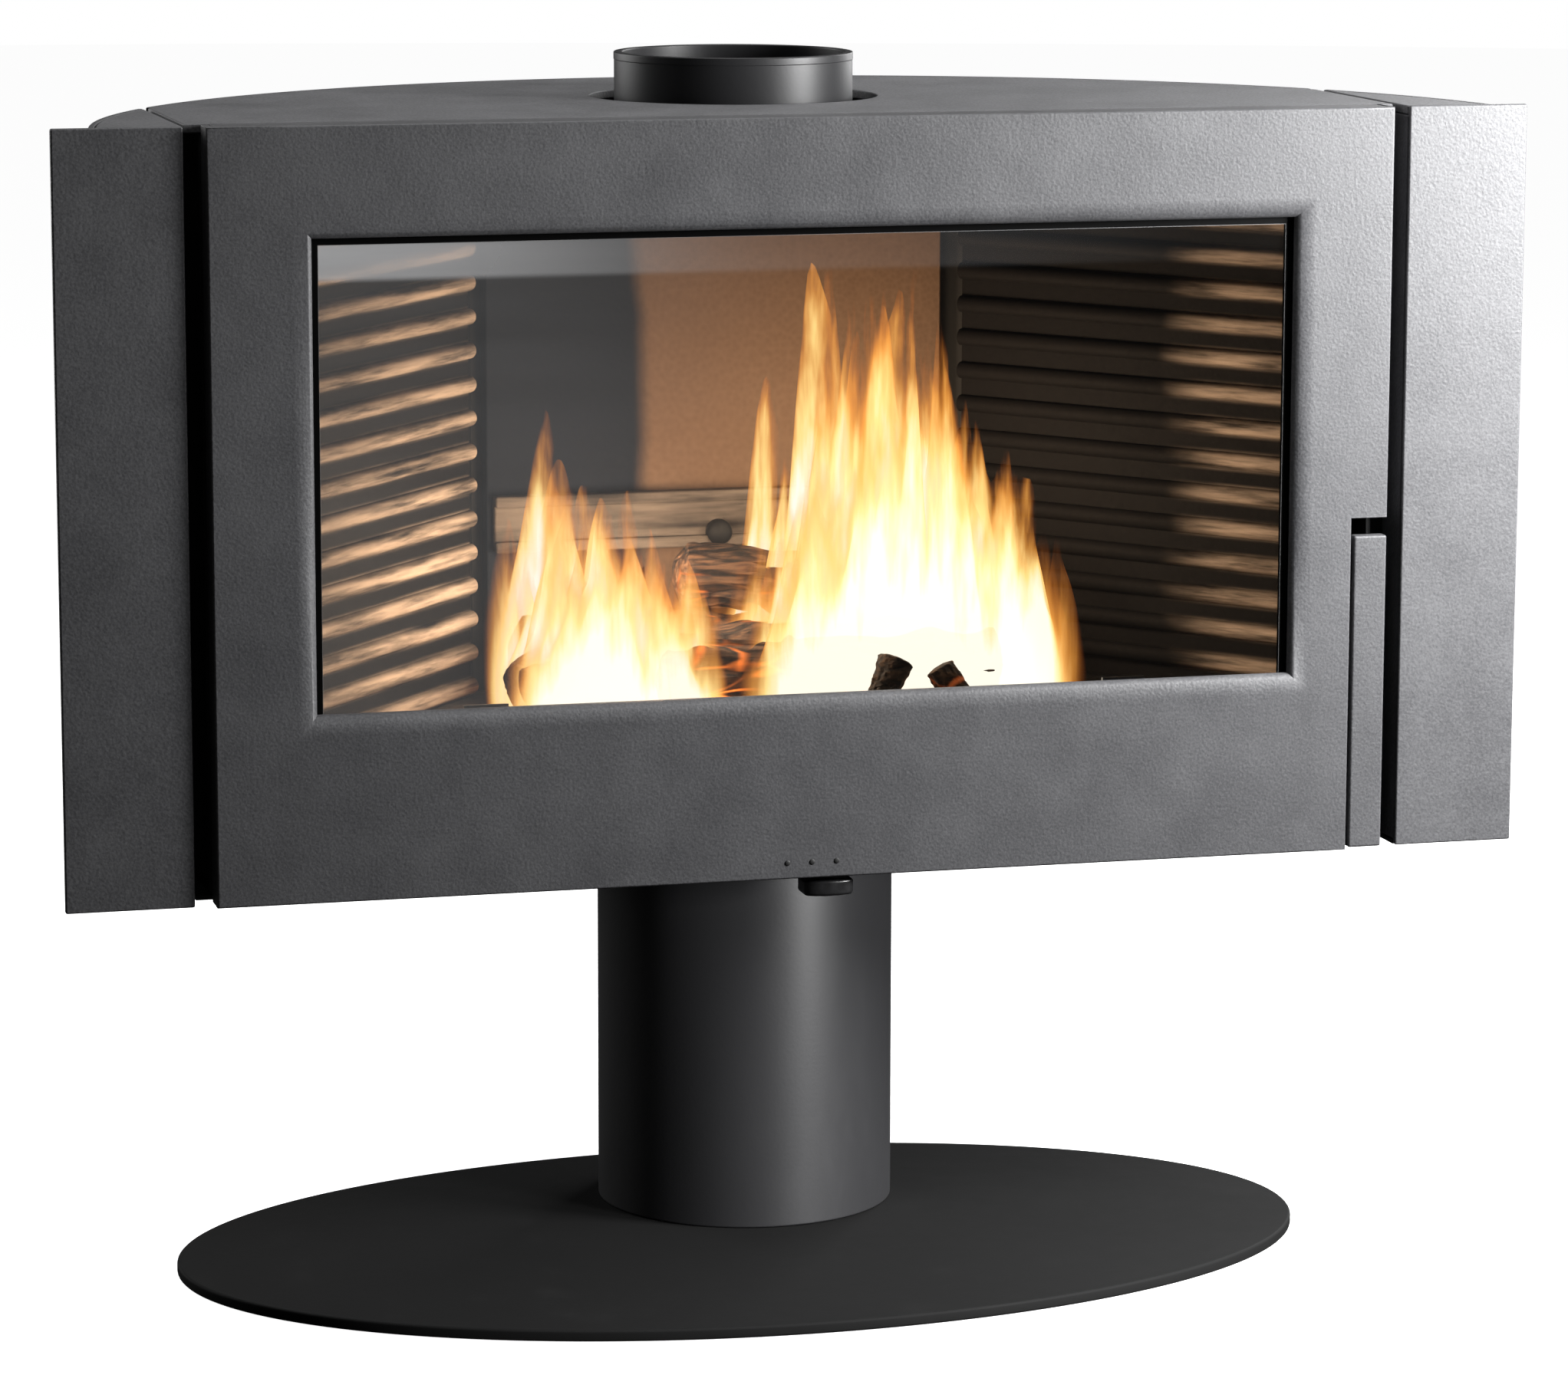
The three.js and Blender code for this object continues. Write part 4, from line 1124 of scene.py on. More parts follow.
@dataclass
class Casing:
    """Curved back, wings, and top."""

    wall: float = 4.0 * MM
    edge: float = 1.0 * MM
    wing_edge: float = 1.3 * MM
    wing_plate: float = 5.0 * MM
    seam: float = 0.8 * MM
    steps: int = 72
    radius: float = field(init=False)
    middle: Point = field(init=False)

    def __post_init__(self) -> None:
        """Find the circle of the curved back from its chord and its depth."""
        back_low, back_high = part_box("casing_back")
        side_low, side_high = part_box("wing_side_right")
        half, rise = side_high.x, back_high.y - side_low.y
        self.radius = (half**2 + rise**2) / (2 * rise)
        self.middle = (0.0, back_high.y - self.radius)

    def make(self) -> None:
        """Build and dress the casing."""
        self._back()
        self._top()
        for side in Side:
            self._wing(side)

    def _angle(self, x: float, radius: float) -> float:
        """The angle from the middle line at which an arc stands x to one side."""
        return math.asin(x / radius)

    def _wall_outline(self, start: float, end: float) -> list[Point]:
        """A strip of the curved wall between two angles from the middle line, towards +X.

        Args:
            start: the first angle, in radians.
            end: the last angle.

        Returns:
            The strip's outline.
        """
        quarter = math.pi / 2
        outer = arc(self.middle, self.radius, quarter - end, quarter - start, self.steps)
        inner = arc(self.middle, self.radius - self.wall, quarter - start, quarter - end, self.steps)
        return outer + inner

    def _back(self) -> None:
        """The curved back between the wings."""
        low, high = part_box("casing_back")
        reach = self._angle(high.x, self.radius)
        back = slab("curved_back", [self._wall_outline(-reach, reach)], low.z, high.z, self.edge)
        dressed(smoothed(back), CAST, stands_for=["casing_back"])

    def _top(self) -> None:
        """The top plate with the hole for the flue."""
        low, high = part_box("top_plate")
        collar_low, collar_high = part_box("flue_collar")
        inside = self.radius - self.wall - self.seam
        reach = self._angle(high.x, inside)
        quarter = math.pi / 2
        outline = [(low.x, low.y), (high.x, low.y)]
        outline += arc(self.middle, inside, quarter - reach, quarter + reach, self.steps)
        hole_radius = (collar_high.x - collar_low.x) / 2 + 3 * MM
        hole_middle = ((collar_low.x + collar_high.x) / 2, (collar_low.y + collar_high.y) / 2)
        hole = arc(hole_middle, hole_radius, 0.0, -2 * math.pi, 96)[:-1]
        top = slab("top_cast", [outline, hole], low.z, high.z, self.edge)
        dressed(smoothed(top), CAST_TOP, stands_for=["top_plate"])

    def _wing(self, side: Side) -> None:
        """One wing: front with its turned-in edge, curved side, and top.

        Args:
            side: which wing.
        """
        hand = side.word
        front_low, front_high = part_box(f"wing_front_{hand}")
        side_low, side_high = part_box(f"wing_side_{hand}")
        top_low, top_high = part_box(f"wing_top_{hand}")
        inner_x = front_low.x if side is Side.RIGHT else front_high.x
        plate_back = front_low.y + self.wing_plate
        turn = sorted((inner_x, inner_x + side.value * self.wall))
        front = blocks(
            f"wing_face_{hand}",
            [
                (front_low, Vector((front_high.x, plate_back, front_high.z))),
                (
                    Vector((turn[0], front_low.y + self.edge, front_low.z + 3.3 * MM)),
                    Vector((turn[1], front_high.y, front_high.z - 6.3 * MM)),
                ),
            ],
            self.wing_edge,
        )
        dressed(smoothed(front), CAST, stands_for=[f"wing_front_{hand}"])

        start = self._angle(abs(inner_x), self.radius - self.wall)
        end = math.pi / 2 - math.asin((side_low.y - self.middle[1]) / (self.radius - self.wall))
        outline = [(side.value * x, y) for x, y in self._wall_outline(start, end)]
        curved = slab(f"wing_curve_{hand}", [outline], side_low.z, side_high.z, self.edge)
        dressed(smoothed(curved), CAST, stands_for=[f"wing_side_{hand}"])

        inside = self.radius - self.wall - self.seam
        bottom = math.asin((top_low.y - self.middle[1]) / inside)
        meets = math.acos(abs(inner_x) / inside)
        corner = [(abs(inner_x), top_low.y)] + arc(self.middle, inside, bottom, meets, 24)
        cap = [(side.value * x, y) for x, y in corner]
        top = slab(f"wing_cap_{hand}", [cap], top_low.z, top_high.z, self.edge)
        dressed(smoothed(top), CAST_TOP, stands_for=[f"wing_top_{hand}"])


@dataclass
class Flue:
    """The collar that takes the flue pipe."""

    bore: float = 76.5 * MM
    wall: float = 6.0 * MM
    lip: float = 0.3 * MM
    lip_height: float = 5.0 * MM
    flange: float = 6.0 * MM

    def make(self) -> None:
        """Build and dress the collar."""
        low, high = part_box("flue_collar")
        axis = ((low.x + high.x) / 2, (low.y + high.y) / 2)
        foot = (high.x - low.x) / 2
        outer = self.bore + self.wall
        section = rounded_section(
            [
                (self.bore, low.z),
                (foot, low.z),
                (foot, low.z + self.flange),
                (outer - self.lip, low.z + self.flange),
                (outer - self.lip, high.z - self.lip_height - self.lip),
                (outer, high.z - self.lip_height),
                (outer, high.z),
                (self.bore, high.z),
            ],
            1.0 * MM,
            3,
        )
        collar = turned("flue_spigot", section, axis)
        dressed(smoothed(collar), SATIN, stands_for=["flue_collar"])


@dataclass
class Firebox:
    """The liners, bar and bolt that show through the window."""

    rib_radius: float = 6.0 * MM
    rib_pitch: float = 23.6 * MM
    rib_width: float = 11.0 * MM
    liner: float = 16.0 * MM
    rib_face: float = 6.0 * MM
    bar_edge: float = 3.0 * MM

    def make(self) -> None:
        """Build and dress what shows inside the firebox."""
        ribs = rib_bank_tree()
        for side in Side:
            self._liner(side, ribs)
        self._back()
        self._bar()

    def _liner(self, side: Side, tree: bpy.types.NodeTree) -> None:
        """One slanted side liner with its level ribs.

        Args:
            side: which liner.
            tree: the tree that grows the ribs.
        """
        node = f"side_liner_{side.word}"
        low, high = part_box(node)
        wide = low.x if side is Side.LEFT else high.x
        run = self._run(node, side)
        length = run.length
        height = high.z - low.z
        count = int((height - self.rib_width) / self.rib_pitch) + 1
        margin = (height - (count - 1) * self.rib_pitch) / 2
        finish = RibbedCast("ribbed_cast_liner", first_crest=low.z + margin, pitch=self.rib_pitch)
        bank = grown(
            f"liner_ribs_{side.word}",
            tree,
            {
                "Count": count,
                "Start": (0.0, self.rib_face, margin),
                "Pitch": (0.0, 0.0, self.rib_pitch),
                "Reach": (length, 0.0, 0.0),
                "Radius": self.rib_radius,
                "Material": finish.material(),
            },
        )
        bm = bmesh.new()
        bm.from_mesh(bank.data)
        add_block(bm, Vector((0.0, self.rib_face, 0.0)), Vector((length, self.liner, height)), 0.8 * MM, 2)
        along = run.normalized()
        outward = Vector((abs(along.y) * side.value, abs(along.x), 0.0))
        corner = Vector((wide, 0.0, 0.0)) - outward * self.liner
        start = Vector((corner.x, low.y, low.z))
        basis = Matrix((along, outward, Vector((0.0, 0.0, 1.0)))).transposed().to_4x4()
        bm.transform(Matrix.Translation(start) @ basis)
        bmesh.ops.recalc_face_normals(bm, faces=bm.faces)
        bm.to_mesh(bank.data)
        bm.free()
        dressed(smoothed(bank), finish, stands_for=[node])

    def _run(self, node: str, side: Side) -> Vector:
        """The liner's inner face from its front end to its back end, in plan.

        Args:
            node: the liner's node.
            side: which liner.

        Returns:
            The run as a level vector.
        """
        low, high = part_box(node)
        across = high.x - low.x
        deep = high.y - low.y
        # The slab's box holds its run and its thickness, which stands square to the run.
        angle = math.atan2(deep, across)
        for _ in range(12):
            run_x = across - self.liner * math.sin(angle)
            run_y = deep - self.liner * math.cos(angle)
            angle = math.atan2(run_y, run_x)
        return Vector((-side.value * run_x, run_y, 0.0))

    def _back(self) -> None:
        """The smooth back board."""
        low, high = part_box("back_liner")
        board = blocks("back_board", [(low, high)], 1.5 * MM)
        dressed(smoothed(board), BRICK, stands_for=["back_liner"])

    def _bar(self) -> None:
        """The air bar across the back: two lipped rails on a plate, with a round-headed bolt."""
        low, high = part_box("air_bar")
        height = high.z - low.z
        rail = height * 0.2
        inset = 5.0 * MM
        bar = blocks(
            "air_bar_cast",
            [
                (Vector((low.x, low.y + inset, low.z)), high),
                (Vector((low.x, low.y, high.z - rail)), Vector((high.x, high.y, high.z))),
                (low, Vector((high.x, high.y, low.z + rail))),
            ],
            self.bar_edge * 0.6,
        )
        dressed(smoothed(bar), LINER, stands_for=["air_bar"])
        bolt_low, bolt_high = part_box("air_bar_bolt")
        middle = (bolt_low + bolt_high) / 2
        radius = (bolt_high.x - bolt_low.x) / 2
        depth = bolt_high.y - bolt_low.y
        dome = [(radius * math.cos(a), depth * math.sin(a)) for a in (i * math.pi / 14 for i in range(8))]
        profile = [(max(r, 0.05 * MM), z) for r, z in dome] + [(0.05 * MM, -inset)] + [(radius, -inset)]
        bolt = turned("bar_bolt", profile, (0.0, 0.0), 40)
        bolt.data.transform(
            Matrix.Translation((middle.x, bolt_high.y, middle.z)) @ Matrix.Rotation(math.pi / 2, 4, "X")
        )
        dressed(smoothed(bolt), BLACK, stands_for=["air_bar_bolt"])


@dataclass
class Door:
    """Cast door with its rounded window border, glass, rope and scale marks."""

    plate: float = 8.0 * MM
    rim: float = 5.0 * MM
    left_rim_depth: float = 22.0 * MM
    border: float = 13.5 * MM
    border_steps: int = 8
    edge: float = 1.4 * MM
    window_side: float = 54.5 * MM
    window_below: float = 110.5 * MM
    window_above: float = 59.5 * MM
    handle_gap: float = 2.0 * MM
    notch: float = 12.0 * MM
    corner: float = 7.0 * MM
    rope_radius: float = 5.0 * MM
    rope_corner: float = 14.0 * MM

    def make(self) -> None:
        """Build and dress the door."""
        self._panel()
        self._glass()
        self._rope()
        self._marks()

    def _panel(self) -> None:
        """The panel: faces round the window and the handle's notch, with depth and a rounded border."""
        low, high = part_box("door_panel")
        bar_low, bar_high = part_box("handle_bar")
        front, back = low.y, low.y + self.plate
        notch_x, notch_z = bar_low.x - self.handle_gap, bar_high.z + self.notch
        window = (
            low.x + self.window_side,
            high.x - self.window_side,
            low.z + self.window_below,
            high.z - self.window_above,
        )
        columns = [low.x, window[0], window[1], notch_x, high.x]
        rows = [low.z, window[2], notch_z, window[3], high.z]
        gone = {(1, 1), (1, 2), (3, 0), (3, 1)}
        bm = bmesh.new()

        def lattice(y: float, shrink: float) -> dict[tuple[int, int], bmesh.types.BMVert]:
            """The grid's points at one depth, with the window's edge moved in by shrink."""
            found = {}
            for i, x in enumerate(columns):
                for j, z in enumerate(rows):
                    if i in (1, 2) and 1 <= j <= 3:
                        x_in = x + (shrink if i == 1 else -shrink)
                        z_in = z + (shrink if j == 1 else -shrink if j == 3 else 0.0)
                        found[i, j] = bm.verts.new((x_in, y, z_in))
                    else:
                        found[i, j] = bm.verts.new((x, y, z))
            return found

        def cells(grid: dict[tuple[int, int], bmesh.types.BMVert]) -> None:
            """Fill the grid's cells, but for the window and the notch."""
            for i in range(len(columns) - 1):
                for j in range(len(rows) - 1):
                    if (i, j) not in gone:
                        bm.faces.new((grid[i, j], grid[i + 1, j], grid[i + 1, j + 1], grid[i, j + 1]))

        near, far = lattice(front, 0.0), lattice(back, self.border)
        cells(near)
        cells(far)
        outer = [(0, 0), (1, 0), (2, 0), (3, 0), (3, 1), (3, 2), (4, 2), (4, 3), (4, 4)]
        outer += [(3, 4), (2, 4), (1, 4), (0, 4), (0, 3), (0, 2), (0, 1)]
        rounded = []
        for a, b in zip(outer, outer[1:] + outer[:1]):
            bm.faces.new((near[a], near[b], far[b], far[a]))
            rounded.append(bm.edges.get((near[a], near[b])))
        mouth = [(1, 1), (2, 1), (2, 2), (2, 3), (1, 3), (1, 2)]
        loop = [near[k] for k in mouth]
        for step in range(1, self.border_steps + 1):
            turn = step / self.border_steps * math.pi / 2
            shrink = self.border * math.sin(turn)
            depth = front + (self.plate - 1.0 * MM) * (1 - math.cos(turn))
            inner = []
            for i, j in mouth:
                x = columns[i] + (shrink if i == 1 else -shrink)
                z = rows[j] + (shrink if j == 1 else -shrink if j == 3 else 0.0)
                inner.append(bm.verts.new((x, depth, z)))
            for k in range(len(loop)):
                following = (k + 1) % len(loop)
                bm.faces.new((loop[k], inner[k], inner[following], loop[following]))
            loop = inner
        last = [far[k] for k in mouth]
        for k in range(len(loop)):
            following = (k + 1) % len(loop)
            bm.faces.new((loop[k], last[k], last[following], loop[following]))
        bmesh.ops.remove_doubles(bm, verts=bm.verts, dist=1e-7)
        bmesh.ops.recalc_face_normals(bm, faces=bm.faces)
        outline = [edge for edge in rounded if edge.is_valid]
        bmesh.ops.bevel(bm, geom=outline, offset=self.edge, segments=3, profile=0.5, affect="EDGES")
        seat = back - 0.5 * MM
        strips = [
            (Vector((low.x + self.corner, seat, high.z - self.rim)), high),
            (Vector((low.x + self.corner, seat, low.z)), Vector((notch_x, high.y, low.z + self.rim))),
            (Vector((low.x, seat, low.z)), Vector((low.x + self.rim, low.y + self.left_rim_depth, high.z))),
            (Vector((high.x - self.rim, seat, notch_z)), high),
        ]
        for strip_low, strip_high in strips:
            add_block(bm, strip_low, strip_high, 0.6 * MM, 2)
        panel = from_bmesh("door_cast", bm)
        dressed(smoothed(panel), CAST, Body.DOOR, ["door_panel"])

    def _glass(self) -> None:
        """The pane, with ground edges."""
        low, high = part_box("door_glass")
        pane = blocks("window_pane", [(low, high)], 0.8 * MM)
        dressed(smoothed(pane), GLASS, Body.DOOR, ["door_glass"])

    def _rope(self) -> None:
        """The rope seal, grown along the door's edge."""
        low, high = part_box("door_rope")
        size, middle = high - low, (low + high) / 2
        rope = grown(
            "rope_seal",
            rope_ring_tree(),
            {
                "Width": size.x - 2 * self.rope_radius,
                "Height": size.z - 2 * self.rope_radius,
                "Corner": self.rope_corner,
                "Radius": self.rope_radius,
                "Twist": 260.0,
                "Material": YARN.material(),
            },
        )
        rope.data.transform(Matrix.Translation(middle) @ Matrix.Rotation(math.pi / 2, 4, "X"))
        dressed(smoothed(rope), YARN, Body.DOOR, ["door_rope"])

    def _marks(self) -> None:
        """Three small studs over the air knob, the scale for its travel."""
        low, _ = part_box("door_panel")
        knob_low, knob_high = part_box("air_knob")
        middle = (knob_low.x + knob_high.x) / 2
        marks = grown(
            "air_scale_marks",
            mark_row_tree(),
            {
                "Count": 3,
                "Start": (middle - 31.0 * MM, low.y, low.z + 11.0 * MM),
                "Pitch": (17.0 * MM, 0.0, 0.0),
                "Radius": 2.0 * MM,
                "Material": BLACK.material(),
            },
        )
        dressed(smoothed(marks), BLACK, Body.DOOR)


@dataclass
class Handle:
    """The flush handle bar with its ear."""

    bar: float = 10.0 * MM
    edge: float = 1.6 * MM
    ear_width: float = 8.0 * MM
    ear_inset: float = 3.5 * MM
    ear_drop: float = 2.0 * MM
    ear_height: float = 16.0 * MM

    def make(self) -> None:
        """Build and dress the handle."""
        low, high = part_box("handle_bar")
        ear_left, ear_top = low.x + self.ear_inset, high.z - self.ear_drop
        ear_low = Vector((ear_left, low.y + self.bar - 1 * MM, ear_top - self.ear_height))
        ear_high = Vector((ear_low.x + self.ear_width, high.y, ear_top))
        bm = bmesh.new()
        add_block(bm, low, Vector((high.x, low.y + self.bar, high.z)), self.edge)
        add_block(bm, ear_low, ear_high, 1.0 * MM, 2)
        bar = smoothed(from_bmesh("handle_cast", bm))
        dressed(bar, CAST, Body.HANDLE, ["handle_bar"])


@dataclass
class AirControl:
    """The knob under the door."""

    edge: float = 2.2 * MM
    steps: int = 18

    def make(self) -> None:
        """Build and dress the knob: straight sides and a bowed front."""
        low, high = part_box("air_knob")
        middle = (low.x + high.x) / 2
        half = (high.x - low.x) / 2
        cheek = low.y + (high.y - low.y) * 0.3
        bow = [
            (middle + half * math.sin(t), cheek - (cheek - low.y) * math.cos(t))
            for t in (-math.pi / 2 + math.pi * i / self.steps for i in range(self.steps + 1))
        ]
        outline = bow + [(high.x, high.y), (low.x, high.y)]
        knob = slab("air_knob_moulded", [outline], low.z, high.z, self.edge)
        dressed(smoothed(knob), KNOB, Body.AIR, ["air_knob"])


@dataclass(frozen=True)
class Peak:
    """One high place in a blaze."""

    x: float
    height: float
    spread: float


@dataclass(frozen=True)
class Log:
    """One log: its ends are measured from the middle of the grate's depth and from its top."""

    name: str
    start: tuple[float, float, float]
    end: tuple[float, float, float]
    radius: float
    seed: int
    finish: Finish = BARK


LOGS = (
    Log("log_front", (-0.085, -0.030, 0.030), (0.165, -0.040, 0.034), 0.033, 1),
    Log("log_back", (-0.165, 0.045, 0.036), (0.140, 0.030, 0.036), 0.033, 2),
    Log("log_over", (-0.050, 0.030, 0.096), (0.185, -0.010, 0.066), 0.022, 3),
    Log("log_char_middle", (0.056, -0.100, 0.004), (0.078, -0.086, 0.047), 0.011, 5, CHARCOAL),
    Log("log_char_right", (0.128, -0.098, 0.004), (0.108, -0.086, 0.041), 0.010, 6, CHARCOAL),
    Log("log_left", (-0.175, -0.028, 0.024), (-0.075, 0.015, 0.066), 0.020, 4),
)


@dataclass
class Fire:
    """Logs, coals and flames on the grate."""

    seed: int = 11
    columns: int = 90
    rows: int = 26
    layers: int = 6
    layer_gap: float = 0.022
    layer_shift: float = 0.006
    shoulder: float = 0.74
    shoulder_spread: float = 2.4
    left_span: Point = (-0.182, -0.040)
    left_peaks: tuple[Peak, ...] = (
        Peak(-0.130, 0.202, 0.026),
        Peak(-0.162, 0.160, 0.020),
        Peak(-0.095, 0.168, 0.028),
        Peak(-0.060, 0.135, 0.020),
    )
    right_span: Point = (-0.030, 0.216)
    right_peaks: tuple[Peak, ...] = (
        Peak(0.066, 0.352, 0.030),
        Peak(0.103, 0.300, 0.034),
        Peak(0.030, 0.225, 0.028),
        Peak(0.145, 0.225, 0.038),
        Peak(0.190, 0.140, 0.026),
        Peak(-0.008, 0.115, 0.020),
    )
    hearth_z: float = field(init=False)
    middle_y: float = field(init=False)

    def __post_init__(self) -> None:
        """Stand the fire on the hearth, over the grate."""
        low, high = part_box("grate")
        self.hearth_z = high.z
        self.middle_y = (low.y + high.y) / 2

    def make(self) -> None:
        """Build and dress the fire."""
        self._coals()
        for log in LOGS:
            self._log(log)
        self._flames("flames_left", self.left_span, self.left_peaks)
        self._flames("flames_right", self.right_span, self.right_peaks)

    def _reach(self, x: float, layer: int, peaks: Sequence[Peak]) -> float:
        """How high a blaze reaches over one place.

        Args:
            x: the place across the grate.
            layer: which of its sheets.
            peaks: its high places.

        Returns:
            The height over the hearth.
        """
        shift = (layer - (self.layers - 1) / 2) * self.layer_shift
        swell = max(p.height * math.exp(-(((x + shift - p.x) / p.spread) ** 2)) for p in peaks)
        wide = self.shoulder_spread
        bells = (p.height * math.exp(-(((x - p.x) / (wide * p.spread)) ** 2)) for p in peaks)
        body = self.shoulder * max(bells)
        torn = 0.84 + 0.36 * noise.noise(Vector((x * 62, layer * 3.7, 1.3)))
        return max(swell, body) * torn

    def _flames(self, name: str, span: Point, peaks: Sequence[Peak]) -> None:
        """Build one blaze of curved sheets, one behind the other.

        Args:
            name: the piece's name.
            span: the blaze's left and right ends.
            peaks: its high places.
        """
        bm = bmesh.new()
        mapped = bm.loops.layers.uv.new("tongue")
        for layer in range(self.layers):
            depth = self.middle_y - 0.02 + (layer - (self.layers - 1) / 2) * self.layer_gap
            grid = []
            for i in range(self.columns + 1):
                u = i / self.columns
                x = span[0] + (span[1] - span[0]) * u
                reach = self._reach(x, layer, peaks)
                line = []
                for j in range(self.rows + 1):
                    v = j / self.rows
                    sway = 0.010 * v * noise.noise(Vector((v * 3.0, layer * 2.1, x * 9.0)))
                    waist = 0.10 * (x - (span[0] + span[1]) / 2) * (v * (1.6 - 2.6 * v))
                    y = depth + 0.012 * math.sin(x * 60 + layer) * v
                    line.append((bm.verts.new((x + sway + waist, y, self.hearth_z + reach * v)), (u, v)))
                grid.append(line)
            for first, second in zip(grid, grid[1:]):
                for j in range(self.rows):
                    corners = (first[j], second[j], second[j + 1], first[j + 1])
                    face = bm.faces.new([c[0] for c in corners])
                    for loop, (_, place) in zip(face.loops, corners):
                        loop[mapped].uv = place
        piece = from_bmesh(name, bm)
        for polygon in piece.data.polygons:
            polygon.use_smooth = True
        piece.visible_diffuse = False
        piece.visible_shadow = False
        dressed(piece, FLAME)

    def _coals(self) -> None:
        """A strewn bed of coals."""
        coals = grown(
            "coal_bed",
            coal_field_tree(),
            {
                "Width": 0.33,
                "Depth": 0.15,
                "Amount": 5200.0,
                "Size": 0.0070,
                "Seed": self.seed,
                "Material": EMBER.material(),
            },
        )
        coals.data.transform(Matrix.Translation((0.0, self.middle_y - 0.01, self.hearth_z + 0.007)))
        dressed(smoothed(coals), EMBER)

    def _log(self, log: Log) -> None:
        """A split, bark-covered log with ragged ends.

        Args:
            log: where it lies and how it looks.
        """
        foot = Vector((0.0, self.middle_y, self.hearth_z))
        a, b = foot + Vector(log.start), foot + Vector(log.end)
        along = (b - a).normalized()
        side = along.cross(Vector((0.0, 0.0, 1.0))).normalized()
        rise = side.cross(along)
        around, steps = 48, 60
        bm = bmesh.new()
        rings = []
        for i in range(steps + 1):
            t = i / steps
            centre = a.lerp(b, t)
            close = min(1.0, (min(t, 1 - t) * 26) ** 0.5) if 0 < t < 1 else 0.35
            ring = []
            for k in range(around):
                angle = 2 * math.pi * k / around
                out = side * math.cos(angle) + rise * math.sin(angle)
                spot = centre + out * log.radius
                lump = noise.noise(spot * 28 + Vector((log.seed * 7.0, 0.0, 0.0))) * 0.30
                ridge = abs(noise.noise(Vector((angle * 3.2, t * 3.0, log.seed * 5.0)))) * 0.22
                plates = noise.noise(Vector((angle * 9.0, t * 14.0, log.seed * 3.0))) * 0.07
                swell = close * (1 + lump - ridge + plates)
                ring.append(bm.verts.new(centre + out * log.radius * swell))
            rings.append(ring)
        for first, second in zip(rings, rings[1:]):
            for k in range(around):
                following = (k + 1) % around
                bm.faces.new((first[k], first[following], second[following], second[k]))
        bm.faces.new(rings[0])
        bm.faces.new(rings[-1])
        bmesh.ops.recalc_face_normals(bm, faces=bm.faces)
        dressed(smoothed(from_bmesh(log.name, bm)), log.finish)


@dataclass(frozen=True)
class Softbox:
    """One soft rectangular light, in metres and watts."""

    name: str
    place: tuple[float, float, float]
    target: tuple[float, float, float]
    size: Point
    watts: float
    stand_only: bool = False


SOFTBOXES = (
    Softbox("right_window", (0.90, -0.60, 0.86), (0.52, -0.13, 0.46), (0.4, 0.5), 47.0),
    Softbox("low_window", (0.72, -1.05, 0.30), (0.0, 0.05, 0.14), (0.22, 0.40), 32.0, stand_only=True),
    Softbox("overhead", (0.35, 0.25, 2.6), (0.0, 0.0, 0.0), (2.4, 2.4), 38.0),
    Softbox("back_left", (-1.7, 1.9, 1.1), (0.0, 0.1, 0.5), (1.4, 1.4), 26.0),
    Softbox("back_right", (1.9, 1.7, 1.2), (0.0, 0.1, 0.5), (1.4, 1.4), 32.0),
)


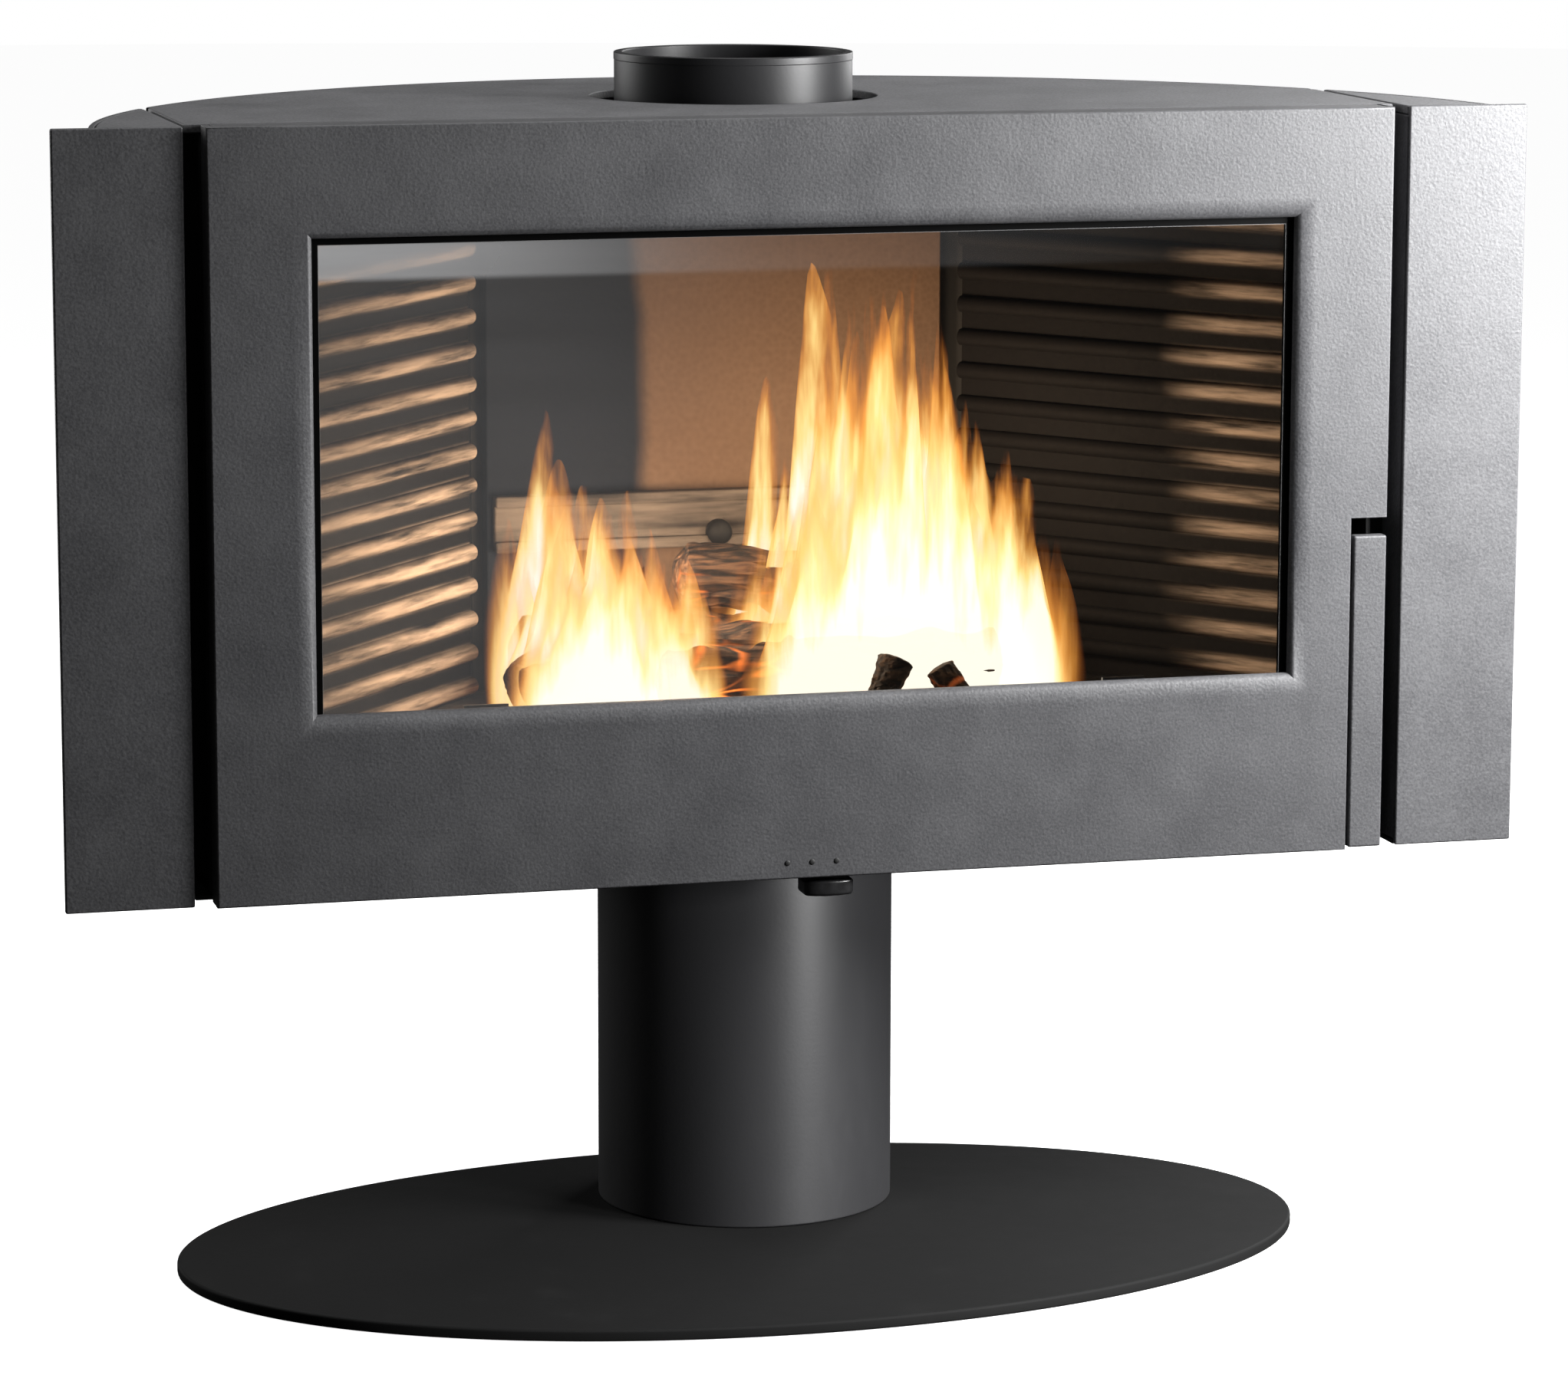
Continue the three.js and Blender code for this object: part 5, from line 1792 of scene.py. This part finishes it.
@dataclass
class Studio:
    """Camera, floor and light."""

    eye: tuple[float, float, float] = (-0.9765, -3.7079, 1.0424)
    yaw: float = 14.97
    pitch: float = -9.91
    roll: float = -0.12
    lens: float = 129.95
    ambient: float = 0.035

    def make(self) -> None:
        """Set the studio up."""
        self._camera()
        self._floor()
        self._lights()
        bpy.context.scene.view_settings.view_transform = "Standard"

    def _camera(self) -> None:
        """The camera, seen from the left and a little above."""
        data = bpy.data.cameras.new("camera")
        data.lens = self.lens
        data.sensor_width = 36.0
        data.clip_end = 60.0
        camera = bpy.data.objects.new("camera", data)
        bpy.context.scene.collection.objects.link(camera)
        yaw, pitch = math.radians(self.yaw), math.radians(self.pitch)
        ahead = Vector((math.sin(yaw) * math.cos(pitch), math.cos(yaw) * math.cos(pitch), math.sin(pitch)))
        turn = ahead.to_track_quat("-Z", "Y").to_matrix().to_4x4()
        roll = Matrix.Rotation(math.radians(-self.roll), 4, "Z")
        camera.matrix_world = Matrix.Translation(self.eye) @ turn @ roll
        bpy.context.scene.camera = camera

    def _floor(self) -> None:
        """A wide pale floor."""
        bm = bmesh.new()
        bmesh.ops.create_circle(bm, cap_ends=True, radius=14.0, segments=96)
        floor = from_bmesh("floor", bm)
        floor.data.materials.append(FLOOR.material())
        floor.visible_glossy = False
        floor.visible_diffuse = False

    def _area(self, box: Softbox, reach: bpy.types.Collection) -> None:
        """Set up a soft rectangular light.

        Args:
            box: the light.
            reach: the group that bounds what it lights.
        """
        data = bpy.data.lights.new(box.name, "AREA")
        data.shape = "RECTANGLE"
        data.size, data.size_y = box.size
        data.energy = box.watts
        lamp = bpy.data.objects.new(box.name, data)
        bpy.context.scene.collection.objects.link(lamp)
        lamp.visible_camera = False
        lamp.light_linking.receiver_collection = reach
        aim = Vector(box.target) - Vector(box.place)
        turn = aim.to_track_quat("-Z", "Y").to_matrix().to_4x4()
        lamp.matrix_world = Matrix.Translation(box.place) @ turn

    def _lights(self) -> None:
        """Soft daylight from the right, a white surround, and the fire's own glow."""
        world = bpy.data.worlds.new("white_surround")
        world.use_nodes = True
        world.node_tree.nodes.clear()
        net = Net(world.node_tree)
        seen = net.value("ShaderNodeLightPath", out="Is Camera Ray")
        surround = net.node("ShaderNodeBackground", {}, {1: seen.most(self.ambient)})
        surround.inputs[0].default_value = (1.0, 1.0, 1.0, 1.0)
        net.node("ShaderNodeOutputWorld", {}, {"Surface": surround.outputs[0]})
        bpy.context.scene.world = world
        body = self._linked("behind_the_glass", [*INSIDE_NODES, *INSIDE_PIECES], "EXCLUDE")
        stand = self._linked("stand_only", STAND_PIECES, "INCLUDE")
        for box in SOFTBOXES:
            self._area(box, stand if box.stand_only else body)
        self._glow("fire_glow_left", (-0.11, -0.01, 0.46), 2.2)
        self._glow("fire_glow_right", (0.09, -0.01, 0.52), 1.6)

    def _linked(self, label: str, names: Sequence[str], state: str) -> bpy.types.Collection:
        """A group of pieces that a light leaves alone, or that it alone reaches.

        Args:
            label: the group's name.
            names: its pieces and nodes.
            state: EXCLUDE to leave them alone, INCLUDE to reach only them.

        Returns:
            The group.
        """
        group = bpy.data.collections.new(label)
        for number, name in enumerate(names):
            group.objects.link(frame["nodes"].get(name) or bpy.data.objects[name])
            group.collection_objects[number].light_linking.link_state = state
        return group

    def _glow(self, name: str, place: Sequence[float], watts: float) -> None:
        """A small warm light within the flames.

        Args:
            name: the light's name.
            place: where it is.
            watts: its power.
        """
        data = bpy.data.lights.new(name, "POINT")
        data.energy = watts
        data.color = (1.0, 0.74, 0.52)
        data.shadow_soft_size = 0.04
        lamp = bpy.data.objects.new(name, data)
        bpy.context.scene.collection.objects.link(lamp)
        lamp.location = place


def dress_nodes() -> None:
    """Give every node of the design that stays in sight its finish."""
    slots = {part["node"]: Slot(part["material_slot"]) for part in frame["record"]["subparts"]}
    for name, node in frame["nodes"].items():
        finish = SLOT_FINISH[slots[name]]
        node.data.materials.clear()
        node.data.materials.append(finish.material())


def main() -> None:
    """Build the stove in order."""
    dress_nodes()
    parts: list[Any] = [Stand(), Casing(), Flue(), Firebox(), Door(), Handle(), AirControl(), Fire()]
    for part in parts:
        LOG.info("building %s", type(part).__name__)
        part.make()
    Studio().make()


if __name__ == "__main__":
    main()
